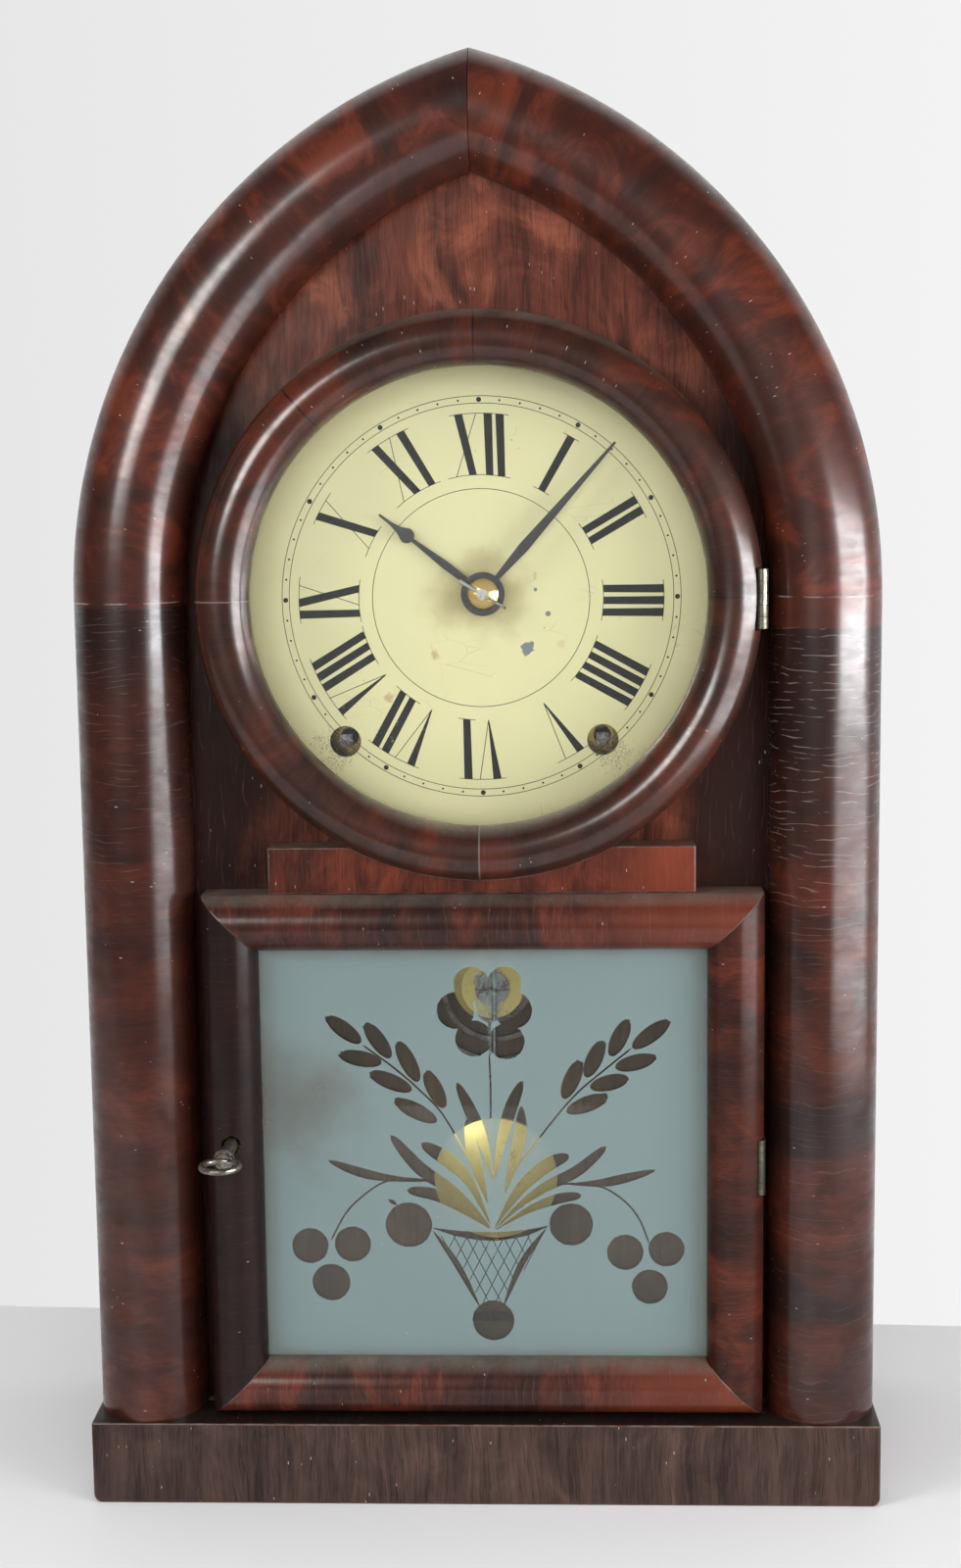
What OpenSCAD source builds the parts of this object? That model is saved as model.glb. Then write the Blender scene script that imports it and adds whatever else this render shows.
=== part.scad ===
// Beehive clock: a pointed-arch wooden case with a one-piece door and an eight-day
// time-and-strike spring movement. The part stands on z = 0 and faces -Y.
// Outlines are drawn in the x-z plane as seen from the front. A depth is measured
// backwards, in +Y, from the front face of the base.

/* [Case] */
// Height from the table to the tip of the arch
overall_h = 482.6; // [470:0.1:495]
// Width of the base
base_w = 268; // [266:0.5:272]
// Height of the base
base_h = 28.5; // [24:0.5:30]
// Depth of the base
base_d = 110; // [108:1:120]
// Width across the two columns
case_w = 267; // [264:0.5:267]
// Height of the dial's centre, where the columns meet the arch
dial_z = 307.4; // [304:0.2:309]
// Thickness of the case's side boards and bent arches
shell_t = 10; // [8:0.5:11]
// Thickness of the veneered front panel
panel_t = 8; // [7:0.5:9]
// Thickness of the backboard
backboard_t = 6; // [5:0.5:6]

/* [Mouldings] */
// Width of the half-round column and arch mouldings
moulding_w = 36.5; // [36:0.5:37]
// Straight part of the moulding behind its half round
moulding_stilt = 3.5; // [3:0.5:4]
// How far the moulding's crest stands behind the base's front
crest_setback = 1.25; // [1:0.25:2]

/* [Door] */
// How far the door's centre stands to the right of the case's centre
door_x = 1; // [0:0.1:1]
// Width of the door
door_w = 188; // [186:0.5:188]
// Height of the lower frame's top edge above the table
door_frame_top = 209.5; // [205:0.1:210]
// Width of the frame's rails and stiles
rail_w = 18.8; // [17:0.1:19]
// Thickness of the door's flat stock behind its half round
door_stock = 12; // [11:0.5:12]
// Outer radius of the ring round the dial glass
ring_outer_r = 93; // [92:0.5:93]
// Inner radius of the ring round the dial glass
ring_inner_r = 75; // [73:0.5:76]
// Width of the block that joins the ring to the frame
header_w = 142.4; // [130:0.2:146]
// Height of the block above the frame
header_h = 15.8; // [12:0.2:18]
// Thickness of both glasses
glass_t = 2; // [1.5:0.1:2]

/* [Dial and hands] */
// Side of the square dial plate
dial_side = 186; // [180:1:188]
// Length of the minute hand from the arbor to its tip
minute_hand_len = 66.3; // [60:0.1:67]
// Length of the hour hand from the arbor to its tip
hour_hand_len = 43.5; // [40:0.1:46]
// Angle of the minute hand, clockwise from twelve
minute_angle = 41.8; // [0:0.1:359.9]
// Angle of the hour hand, clockwise from twelve
hour_angle = 307.7; // [0:0.1:359.9]

/* [Movement] */
// Thickness of the two brass plates
plate_t = 1.5; // [1.2:0.1:1.6]
// Teeth on each great wheel
great_teeth = 84; // [84]
// Wires in the lantern pinion that a great wheel turns
second_leaves = 8; // [8]
// Teeth on each second wheel
second_teeth = 72; // [72]
// Teeth on the two third wheels
third_teeth = 63; // [63]
// Wires in the lantern pinions of the third arbors, the escape arbor and the fly
small_leaves = 6; // [6]
// Teeth on the escape wheel
escape_teeth = 36; // [36]
// Radius of the pendulum bob
bob_r = 23; // [20:0.5:26]
// Height of the bob's centre above the table
bob_z = 87; // [80:0.5:90]
// Outer radius of the wire gong's last turn
gong_r = 42; // [36:1:44]

/* [Hidden] */
$fn = 48;

// The bounding box is centred on the origin in y: the key stands out in front of the base
key_reach = 29.1;
front_y = (key_reach - base_d) / 2;

// Arch: two arcs that are tangent to the columns and cross on the centre line
half_w = case_w / 2;
arch_rise = overall_h - dial_z;
arch_r = (arch_rise * arch_rise + half_w * half_w) / case_w;
arch_off = arch_r - half_w;
joint_gap = 0.2;
shell_inset = 0.5;

// Depths of the case
moulding_spring = crest_setback + moulding_w / 2;
panel_d = moulding_spring + moulding_stilt;
panel_back = panel_d + panel_t;
backboard_d = base_d - backboard_t;
base_rail_t = 20;
base_side_t = 16;
floor_t = 12;

// Openings in the front panel
dial_opening_r = 80;
tablet_opening_half_w = 77;
tablet_opening_low = 44;
tablet_opening_high = 194;

// Door
door_back = panel_d - 0.5;
door_flat = door_back - door_stock;
door_half_w = door_w / 2;
door_bottom = base_h + 1;
rabbet_w = 3;
rabbet_d = door_flat + 2;
glass_play = 0.2;
bead_t = 4;
dial_c = [door_x, dial_z];
move_c = dial_c + [1.2, 0.8];

// Hinges: the pin stands in front of the door's flat stock, just inside its right edge
pin_inset = 1.6;
notch_play = 0.8;
hinge_x = door_x + door_half_w - pin_inset;
hinge_d = door_flat - 2.5;
knuckle_r = 2;
pin_r = 0.95;
leaf_t = 0.9;
leaf_start = hinge_d + 2.3;
case_leaf_x = hinge_x + knuckle_r - leaf_t;
door_leaf_x = hinge_x - knuckle_r;
door_leaf_end = door_back - 1;
case_leaf_end = panel_d + 5.5;
upper_hinge = [dial_z - 0.8, 19.4, [3.9, 3.9, 3.8, 3.9, 3.9]];
lower_hinge = [116.5, 19, [4.2, 10.6, 4.2]];
knuckle_gap = 0.15;

// Latch: the key's shank runs through the left stile to a hook behind the front panel
latch_c = [door_x - door_half_w + rail_w / 2, 126];
shank_r = 2.2;
latch_bore_r = 3.25;
hook_d = panel_back + 0.8;
hook_t = 1.8;
bow_r = 6;
bow_wire_r = 1.1;

// Depths of the dial and hands
dial_t = 1;
minute_hand_d = 24.6;
hour_hand_d = 27.6;

// Movement plates
front_plate_d = 46;
inner_front = front_plate_d + plate_t;
back_plate_d = 84;
plate_back = back_plate_d + plate_t;

// Gear sizes: the module is the pitch diameter divided by the number of teeth
great_m = 0.6;
second_m = 0.6;
third_m = 0.5;
drive_m = 0.78;
drive_teeth = 54;
centre_teeth = 42;
cannon_m = 0.5;
cannon_teeth = 14;
minute_teeth = 42;
hour_m = 0.7;
hour_teeth = 32;
hour_leaves = 8;

// Tooth forms: addendum, dedendum, and widths at tip, pitch circle and root as shares of a pitch
great_form = [0.62, 0.55, 0.16, 0.42, 0.5];
second_form = [0.58, 0.55, 0.14, 0.4, 0.5];
third_form = [0.48, 0.5, 0.14, 0.4, 0.5];
drive_form = [0.62, 0.8, 0.22, 0.42, 0.56];
cannon_form = [0.4, 0.5, 0.18, 0.4, 0.55];
hour_form = [0.6, 0.6, 0.14, 0.4, 0.5];

// Arbor places: each arbor after the winding arbors stands where the pitch circles touch
function centre_distance(m, a, b) = m * (a + b) / 2;
function along(p, angle, r) = p + r * [cos(angle), sin(angle)];
function angle_to(p, q) = atan2(q[1] - p[1], q[0] - p[0]);
function meet(p, rp, q, rq) =
    let (d = norm(q - p), a = (d * d + rp * rp - rq * rq) / (2 * d), h = sqrt(rp * rp - a * a),
         u = (q - p) / d)
    p + a * u + h * [u[1], -u[0]];

time_c = move_c + [39.8, -49.7];
strike_c = move_c + [-47.4, -49.7];
escape_c = move_c + [15.5, 13.5];
verge_c = move_c + [0, 27];
suspension_z = move_c[1] + 44;
rod_x = move_c[0];
great_dist = centre_distance(great_m, great_teeth, second_leaves);
second_dist = centre_distance(second_m, second_teeth, small_leaves);
third_dist = centre_distance(third_m, third_teeth, small_leaves);
drive_dist = centre_distance(drive_m, drive_teeth, centre_teeth);
second_c = meet(time_c, great_dist, move_c, drive_dist);
third_c = meet(second_c, second_dist, escape_c, third_dist);
strike_second_c = along(strike_c, 58, great_dist);
strike_third_c = along(strike_second_c, 78, second_dist);
fly_c = along(strike_third_c, 118, third_dist);
minute_c = along(move_c, -135, centre_distance(cannon_m, cannon_teeth, minute_teeth));
count_c = move_c + [-27, 24];
lever_c = move_c + [-56, 14];
hammer_c = move_c + [-13, -56];
gong_c = [1.5, 158.5];

// Depth of each wheel
great_d = 50;
great_t = 1.6;
ratchet_d = 51.9;
ratchet_t = 1.3;
spring_d = 55;
spring_w = 19;
third_d = 66;
escape_d = 58;
wheel_t = 1.2;
second_d = 77;
drive_d = 80.4;
cannon_d = 40;
hour_d = 35.6;
count_d = 42.6;
rod_d = 88.6;
gong_d = 95;
gong_wire = 2.5;
gong_cup_d = 93;
gong_cup_r = 11.5;
gong_neck_r = 9.5;
gong_foot_r = 15;
gong_nut_r = 6.4;
gong_nut_t = 2;

// Arbor and pivot radii, and the running clearance of each bore
winding_r = 3;
winding_pivot_r = 2;
second_r = 1.4;
third_r = 0.95;
small_r = 0.75;
centre_r = 1.9;
play = 0.05;

pillars = [for (p = [[-66, -24], [60, -24], [-4, -70], [-46, 44], [44, 44]]) move_c + p];
pillar_r = 2.6;
pillar_end_r = 1.4;
pillar_rivet_r = 1.8;

// Pivots of the plates: place, radius in the front plate, radius in the back plate
pivots = [
    [time_c, winding_r, winding_pivot_r],
    [strike_c, winding_r, winding_pivot_r],
    [second_c, 0.8, 0.8],
    [strike_second_c, 0.8, 0.8],
    [third_c, 0.7, 0.7],
    [strike_third_c, 0.7, 0.7],
    [escape_c, 0.5, 0.5],
    [fly_c, 0.5, 0.5],
    [move_c, centre_r, 1.2],
    [verge_c, 0.6, 0.9],
    [lever_c, 1.2, 0.8],
    [hammer_c, 0.9, 1.3]];

// Screws: place, depth of the head's outer face, direction of the shank, shank length
back_screw_len = 18;
arch_screw_r = arch_r - shell_inset - shell_t / 2;
side_screw_x = half_w - shell_inset - shell_t / 2;
side_screws = [for (s = [-1, 1], z = [60, 175, 290]) [[s * side_screw_x, z], base_d, -1, back_screw_len]];
arch_screws = [for (s = [-1, 1], a = [30, 60])
    [[s * (arch_screw_r * cos(a) - arch_off), dial_z + arch_screw_r * sin(a)], base_d, -1, back_screw_len]];
batten_screws = [for (x = [-59, 55], z = [-40, 20]) [move_c + [x, z], base_d, -1, back_screw_len]];
dial_screw_d = panel_back + dial_t + 1.6;
dial_screws = [for (s = [-1, 1], t = [-1, 1]) [dial_c + [84 * s, 84 * t], dial_screw_d, -1, 8]];
keeper_screws = [for (z = [115, 137]) [[-102, z], panel_back + 0.6 + 1.6, -1, 7]];
seat_screws = [for (x = [-59, 55], z = [-66, 46]) [move_c + [x, z], back_plate_d - 1.6, 1, 14]];
all_screws = concat(side_screws, arch_screws, batten_screws, dial_screws, keeper_screws, seat_screws);
screw_r = 1.5;
screw_head_r = 3;
screw_head_t = 1.6;

// Helpers

module slab(d1, d2) translate([0, front_y + d2, 0]) rotate([90, 0, 0]) linear_extrude(d2 - d1) children();

module bar(p, d1, d2, r)
    translate([p[0], front_y + d1, p[1]]) rotate([-90, 0, 0]) cylinder(h = d2 - d1, r = r);

// Turned piece about the depth axis: the outline is drawn as radius and minus depth
module turned(p) translate([p[0], front_y, p[1]]) rotate([90, 0, 0]) rotate_extrude($fn = 144) children();

module wire(a, b, r) {
    v = b - a;
    translate(a)
        rotate([0, acos(v[2] / norm(v)), atan2(v[1], v[0])])
            cylinder(h = norm(v), r = r, $fn = 24);
}

function spot(p, d) = [p[0], front_y + d, p[1]];

module beehive(inset) {
    w = half_w - inset;
    translate([-w, base_h]) square([2 * w, dial_z - base_h]);
    intersection() {
        translate([-arch_off, dial_z]) circle(r = arch_r - inset, $fn = 360);
        translate([arch_off, dial_z]) circle(r = arch_r - inset, $fn = 360);
        translate([-w, dial_z]) square([2 * w, overall_h]);
    }
}

// Half round on a straight stilt: x runs across the moulding, y is minus depth
module half_round(w, back, spring) {
    translate([0, -back]) square([w, back - spring]);
    intersection() {
        translate([w / 2, -spring]) circle(r = w / 2, $fn = 96);
        translate([0, -spring]) square([w, w]);
    }
}

// Door moulding with the rabbet for the glass along its inner edge
module door_moulding(w) {
    difference() {
        half_round(w, door_back, door_flat);
        translate([w - rabbet_w, -door_back - 1]) square([rabbet_w + 1, door_back + 1 - rabbet_d]);
    }
}

module rounded(x0, z0, x1, z1, r) {
    translate([x0 + r, z0]) square([x1 - x0 - 2 * r, z1 - z0]);
    translate([x0, z0 + r]) square([x1 - x0, z1 - z0 - 2 * r]);
    for (x = [x0 + r, x1 - r], z = [z0 + r, z1 - r]) translate([x, z]) circle(r = r);
}

// A gear's outline, with one tooth centred on the x axis
function tooth_points(n, m, form) =
    let (rp = n * m / 2, pitch = 360 / n,
         steps = [[rp - form[1], -form[4]], [rp, -form[3]], [rp + form[0], -form[2]],
                  [rp + form[0], form[2]], [rp, form[3]], [rp - form[1], form[4]]])
    [for (i = [0 : n - 1], s = steps)
        let (a = i * pitch + s[1] * pitch / 2) s[0] * [cos(a), sin(a)]];

module gear(n, m, form, turn) rotate(turn) polygon(tooth_points(n, m, form));

// Windows between a wheel's arms
module windows(rim_r, hub_r, arms, arm_w) {
    difference() {
        circle(r = rim_r);
        circle(r = hub_r);
        for (i = [0 : arms - 1])
            rotate(360 / arms * i + 15) translate([0, -arm_w / 2]) square([rim_r + 1, arm_w]);
    }
}

// Lantern pinion: wires between two brass discs, with a gap that faces the wheel
module lantern(p, q, n, m, wire_r, d1, d2) {
    rp = n * m / 2;
    disc_t = 0.8;
    bar(p, d1, d1 + disc_t, rp + 0.8);
    bar(p, d2 - disc_t, d2, rp + 0.8);
    for (i = [0 : n - 1])
        bar(along(p, angle_to(p, q) + 180 / n + 360 / n * i, rp), d1 + disc_t / 2, d2 - disc_t / 2, wire_r);
}

module arbor(p, r, pivot_front, pivot_back) {
    bar(p, inner_front + 0.4, back_plate_d - 0.4, r);
    bar(p, front_plate_d - 0.2, inner_front + 1, pivot_front);
    bar(p, back_plate_d - 1, plate_back - 0.1, pivot_back);
}

// A screw with a slotted flat head; dir is 1 where its shank points backwards
module screw(p, d, dir, len) {
    translate([p[0], front_y + d, p[1]])
        rotate([dir * -90, 0, 0]) {
            difference() {
                cylinder(h = screw_head_t, r = screw_head_r);
                translate([-4, -0.35, -1]) cube([8, 0.7, 1.7]);
            }
            translate([0, 0, screw_head_t]) cylinder(h = len - screw_head_t, r = screw_r);
        }
}

module screw_bores() {
    for (s = all_screws) {
        start = s[2] > 0 ? s[1] : s[1] - s[3];
        bar(s[0], start, start + s[3], screw_r);
    }
    for (s = concat(side_screws, arch_screws, batten_screws))
        bar(s[0], base_d - screw_head_t, base_d + 1, screw_head_r);
}

// Case

module base_rails() color([0.16, 0.08, 0.06]) {
    half = base_w / 2;
    foot_r = 3;
    slab(0, base_rail_t)
        difference() {
            translate([-half, 0]) square([base_w, base_h]);
            for (s = [-1, 1]) translate([s * half, 0]) difference() {
                square(2 * foot_r, center = true);
                translate([-s * foot_r, foot_r]) circle(r = foot_r);
            }
        }
    side_y = front_y + base_rail_t + joint_gap / 2;
    for (x = [-half, half - base_side_t])
        translate([x, side_y, 0])
            cube([base_side_t, base_d - base_rail_t - base_side_t - joint_gap, base_h]);
    translate([-half, front_y + base_d - base_side_t, 0]) cube([base_w, base_side_t, base_h]);
}

module case_floor() color([0.45, 0.3, 0.17]) {
    w = base_w - 2 * base_side_t;
    translate([-w / 2, front_y + base_rail_t, base_h - floor_t])
        cube([w, base_d - base_rail_t - base_side_t, floor_t]);
}

module shell_outline() {
    difference() {
        beehive(shell_inset);
        beehive(shell_inset + shell_t);
        translate([-joint_gap / 2, dial_z]) square([joint_gap, overall_h]);
    }
}

module case_sides() color([0.2, 0.1, 0.07]) {
    difference() {
        slab(panel_back, backboard_d)
            intersection() {
                shell_outline();
                translate([-half_w, base_h]) square([case_w, dial_z - base_h]);
            }
        screw_bores();
    }
}

module case_arches() color([0.2, 0.1, 0.07]) {
    difference() {
        slab(panel_back, backboard_d)
            intersection() {
                shell_outline();
                translate([-half_w, dial_z]) square([case_w, overall_h]);
            }
        screw_bores();
    }
}

module column_mouldings() color([0.24, 0.1, 0.07]) {
    for (s = [0, 1]) mirror([s, 0, 0])
        translate([half_w - moulding_w, front_y, base_h])
            linear_extrude(dial_z - base_h)
                mirror([0, 1]) half_round(moulding_w, panel_d, moulding_spring);
}

module arch_mouldings() color([0.24, 0.1, 0.07]) {
    for (s = [0, 1]) mirror([s, 0, 0])
        intersection() {
            translate([-arch_off, front_y, dial_z])
                rotate([90, 0, 0])
                    rotate_extrude(angle = 80, $fn = 360)
                        translate([arch_r - moulding_w, 0])
                            half_round(moulding_w, panel_d, moulding_spring);
            translate([joint_gap / 2, front_y - 10, dial_z - 10])
                cube([half_w + 10, panel_d + 20, overall_h]);
        }
}

// Slots in the front panel that hold the leaves of the case
module hinge_slots() {
    for (h = [upper_hinge, lower_hinge])
        translate([case_leaf_x, front_y + panel_d - 1, h[0] - h[1] / 2])
            cube([leaf_t, case_leaf_end - panel_d + 1, h[1]]);
}

module front_panel() color([0.3, 0.12, 0.07]) {
    difference() {
        slab(panel_d, panel_back)
            difference() {
                beehive(shell_inset);
                translate(dial_c) circle(r = dial_opening_r, $fn = 144);
                translate([door_x - tablet_opening_half_w, tablet_opening_low])
                    square([2 * tablet_opening_half_w, tablet_opening_high - tablet_opening_low]);
                translate([latch_c[0] - 5.6, latch_c[1] - 4.4]) square([9.6, 20.6]);
            }
        hinge_slots();
        screw_bores();
    }
}

module backboard() color([0.42, 0.28, 0.16]) {
    difference() {
        slab(backboard_d, base_d) beehive(shell_inset);
        screw_bores();
    }
}

module wood_screws() color([0.5, 0.5, 0.52]) {
    for (s = all_screws) screw(s[0], s[1], s[2], s[3]);
}

module movement_battens() color([0.5, 0.35, 0.2]) {
    difference() {
        for (x = [-66, 48])
            translate([move_c[0] + x, front_y + plate_back, move_c[1] - 72])
                cube([14, backboard_d - plate_back, 122]);
        screw_bores();
    }
}

module dial_plate() color([0.88, 0.86, 0.7]) {
    difference() {
        slab(panel_back, panel_back + dial_t)
            difference() {
                translate(dial_c) square(dial_side, center = true);
                translate(move_c) circle(r = 3.6);
                translate(time_c) circle(r = 5.3);
                translate(strike_c) circle(r = 5.3);
            }
        screw_bores();
    }
}

module latch_keeper() color([0.7, 0.55, 0.25]) {
    difference() {
        slab(panel_back, panel_back + 0.6) translate([-112, 110]) square([20.4, 32]);
        screw_bores();
    }
}

// Hinges

// Lower and upper end of knuckle i of a hinge
function knuckle_low(h, i) = h[0] - h[1] / 2 + (i == 0 ? 0 : knuckle_low_sum(h[2], i));
function knuckle_low_sum(list, i) = i == 0 ? 0 : list[i - 1] + knuckle_low_sum(list, i - 1);

module knuckle(h, i, bore_r) {
    low = knuckle_low(h, i) + knuckle_gap / 2;
    translate([hinge_x, front_y + hinge_d, low])
        difference() {
            cylinder(h = h[2][i] - knuckle_gap, r = knuckle_r);
            if (bore_r > 0) translate([0, 0, -1]) cylinder(h = h[2][i] + 2, r = bore_r);
        }
}

// A strap of leaf beside knuckle i
module leaf_tab(h, i, x) {
    low = knuckle_low(h, i) + knuckle_gap / 2;
    translate([x, front_y + hinge_d, low])
        cube([leaf_t, leaf_start - hinge_d + 0.01, h[2][i] - knuckle_gap]);
}

module hinge_case_leaves() color([0.66, 0.55, 0.3]) {
    for (h = [upper_hinge, lower_hinge]) {
        for (i = [0 : 2 : len(h[2]) - 1]) {
            knuckle(h, i, 0);
            leaf_tab(h, i, case_leaf_x);
        }
        translate([case_leaf_x, front_y + leaf_start, h[0] - h[1] / 2])
            cube([leaf_t, case_leaf_end - leaf_start, h[1]]);
        translate([hinge_x, front_y + hinge_d, h[0] - h[1] / 2 + 1]) cylinder(h = h[1] - 2, r = pin_r);
    }
}

// Knuckle i of the door's leaf is a tube about the pin, cut clear of the strap's inner edge
module hinge_door_leaves() color([0.66, 0.55, 0.3]) {
    for (h = [upper_hinge, lower_hinge]) {
        for (i = [1 : 2 : len(h[2]) - 2]) {
            difference() {
                union() {
                    knuckle(h, i, 0);
                    leaf_tab(h, i, door_leaf_x);
                }
                translate([hinge_x, front_y + hinge_d, h[0] - h[1]])
                    cylinder(h = 2 * h[1], r = pin_r + play);
            }
        }
        translate([door_leaf_x, front_y + leaf_start, h[0] - h[1] / 2])
            cube([leaf_t, door_leaf_end - leaf_start, h[1]]);
    }
}

// Notches in the door's right edge for the knuckles and the leaves
module hinge_notches() {
    for (h = [upper_hinge, lower_hinge]) {
        low = h[0] - h[1] / 2;
        translate([hinge_x - knuckle_r - notch_play, front_y + hinge_d - 4, low - 0.5])
            cube([8, leaf_start - hinge_d + 4, h[1] + 1]);
        translate([door_leaf_x, front_y + leaf_start - 0.01, low]) cube([8, door_back, h[1]]);
        translate([case_leaf_x - notch_play, front_y + leaf_start - 0.01, low - 0.5])
            cube([8, door_back, h[1] + 1]);
    }
}

// Door

module door_ring() color([0.24, 0.1, 0.07]) {
    difference() {
        turned(dial_c)
            translate([ring_outer_r, 0]) mirror([1, 0]) door_moulding(ring_outer_r - ring_inner_r);
        hinge_notches();
    }
}

module door_header_block() color([0.3, 0.12, 0.07]) {
    slab(door_flat, door_back)
        difference() {
            translate([door_x - header_w / 2, door_frame_top]) square([header_w, header_h]);
            translate(dial_c) circle(r = ring_outer_r, $fn = 144);
        }
}

// Door frame's outline as a mitred piece along the top or the bottom
module mitred_rail(outer_z, inner_z) {
    slab(-5, door_back + 1)
        translate([door_x, 0])
            polygon([[-door_half_w, outer_z], [door_half_w, outer_z],
                [door_half_w - rail_w, inner_z], [-door_half_w + rail_w, inner_z]]);
}

module door_rails() color([0.24, 0.1, 0.07]) {
    intersection() {
        translate([door_x - door_half_w, front_y, door_frame_top])
            rotate([0, 90, 0]) linear_extrude(door_w) mirror([0, 1]) door_moulding(rail_w);
        mitred_rail(door_frame_top, door_frame_top - rail_w);
    }
    intersection() {
        translate([door_x - door_half_w, front_y, door_bottom])
            mirror([0, 0, 1]) rotate([0, 90, 0])
                linear_extrude(door_w) mirror([0, 1]) door_moulding(rail_w);
        mitred_rail(door_bottom, door_bottom + rail_w);
    }
}

module door_stiles() color([0.24, 0.1, 0.07]) {
    difference() {
        for (s = [0, 1]) translate([door_x, 0, 0]) mirror([s, 0, 0])
            intersection() {
                translate([-door_half_w, front_y, door_bottom])
                    linear_extrude(door_frame_top - door_bottom) mirror([0, 1]) door_moulding(rail_w);
                slab(-5, door_back + 1)
                    polygon([[-door_half_w, door_bottom], [-door_half_w + rail_w, door_bottom + rail_w],
                        [-door_half_w + rail_w, door_frame_top - rail_w], [-door_half_w, door_frame_top]]);
            }
        bar(latch_c, -1, door_back + 1, latch_bore_r);
        hinge_notches();
    }
}

module dial_glass() color([0.85, 0.9, 0.9, 0.3]) {
    bar(dial_c, rabbet_d, rabbet_d + glass_t, ring_inner_r + rabbet_w - glass_play);
}

glass_half_w = door_half_w - rail_w + rabbet_w;
glass_low = door_bottom + rail_w - rabbet_w;
glass_high = door_frame_top - rail_w + rabbet_w;

module tablet_glass() color([0.6, 0.7, 0.7, 0.5]) {
    slab(rabbet_d, rabbet_d + glass_t)
        translate([door_x - glass_half_w + glass_play, glass_low + glass_play])
            square([2 * (glass_half_w - glass_play), glass_high - glass_low - 2 * glass_play]);
}

// Putty behind the dial glass and pinned beads behind the tablet
module glazing_beads() color([0.35, 0.22, 0.14]) {
    outer_r = ring_inner_r + rabbet_w;
    start = rabbet_d + glass_t;
    turned(dial_c) polygon([[outer_r - 2.6, -start], [outer_r, -start], [outer_r, -start - bead_t]]);
    slab(start, start + bead_t)
        difference() {
            translate([door_x - glass_half_w, glass_low])
                square([2 * glass_half_w, glass_high - glass_low]);
            translate([door_x - glass_half_w + 2.6, glass_low + 2.6])
                square([2 * glass_half_w - 5.2, glass_high - glass_low - 5.2]);
        }
}

// Latch

module latch_bush() color([0.66, 0.55, 0.3]) {
    difference() {
        bar(latch_c, door_flat - 2, door_back, latch_bore_r);
        bar(latch_c, 0, door_back + 1, shank_r + play);
    }
}

module latch_key() color([0.55, 0.53, 0.47]) {
    bow_d = -(key_reach - bow_r - bow_wire_r);
    bar(latch_c, bow_d + bow_r - 0.4, hook_d + hook_t + 1, shank_r);
    bar(latch_c, bow_d + bow_r + 1.2, bow_d + bow_r + 2.6, 3.4);
    translate(spot(latch_c, bow_d)) rotate_extrude() translate([bow_r, 0]) circle(r = bow_wire_r, $fn = 24);
}

module latch_hook() color([0.5, 0.5, 0.52]) {
    difference() {
        slab(hook_d, hook_d + hook_t)
            translate(latch_c) {
                circle(r = 3.4);
                translate([-2.5, 0]) square([5, 11.5]);
                translate([0, 11.5]) circle(r = 2.5);
            }
        bar(latch_c, 0, hook_d + 10, shank_r);
    }
}

// Movement frame

module plate_outline() {
    difference() {
        translate(move_c) rounded(-74, -76, 70, 54, 6);
        translate(move_c + [-79, 10]) circle(r = 15);
        translate(move_c + [75, 10]) circle(r = 15);
        translate(move_c + [0, -36]) circle(r = 8);
    }
}

module front_plate() color([0.72, 0.58, 0.26]) {
    difference() {
        slab(front_plate_d, inner_front) plate_outline();
        for (p = pivots) bar(p[0], front_plate_d - 1, inner_front + 1, p[1] + play);
        for (p = pillars) bar(p, front_plate_d - 1, inner_front + 1, pillar_end_r);
    }
    bar(minute_c, 39.6, front_plate_d, 1.2);
    bar(count_c, 41.4, front_plate_d, 1.5);
}

module back_plate() color([0.72, 0.58, 0.26]) {
    difference() {
        slab(back_plate_d, plate_back) plate_outline();
        for (p = pivots) bar(p[0], back_plate_d - 1, plate_back + 1, p[2] + play);
        for (p = pillars) bar(p, back_plate_d - 1, plate_back + 1, pillar_rivet_r);
        screw_bores();
    }
}

module plate_pillars() color([0.72, 0.58, 0.26]) {
    for (p = pillars) {
        bar(p, inner_front, back_plate_d, pillar_r);
        bar(p, front_plate_d - 2.6, inner_front, pillar_end_r);
        bar(p, back_plate_d, plate_back, pillar_rivet_r);
    }
}

module steel_nuts() color([0.5, 0.5, 0.52]) {
    for (p = pillars)
        difference() {
            translate(spot(p, front_plate_d - 2.2)) rotate([-90, 0, 0]) cylinder(h = 2.2, r = 3.4, $fn = 6);
            bar(p, front_plate_d - 4, front_plate_d + 1, pillar_end_r);
        }
    difference() {
        bar(gong_c, gong_cup_d - gong_nut_t, gong_cup_d, gong_nut_r);
        translate(spot(gong_c, gong_cup_d - gong_nut_t - 1))
            translate([-gong_nut_r - 1, 0, -0.6]) cube([2 * gong_nut_r + 2, 1.8, 1.2]);
    }
}

module suspension_post() color([0.72, 0.58, 0.26]) {
    difference() {
        translate([rod_x - 4, front_y + plate_back, suspension_z]) cube([8, 5.5, 9]);
        translate([rod_x - 0.6, front_y + rod_d - 1.5, suspension_z - 1]) cube([1.2, 10, 7]);
    }
}

// Trains

module ratchet_outline(n, tip_r, root_r) {
    polygon([for (i = [0 : n - 1], k = [0, 1])
        let (a = (i + (k == 0 ? 0 : 0.94)) * 360 / n, r = k == 0 ? tip_r : root_r) r * [cos(a), sin(a)]]);
}

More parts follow.
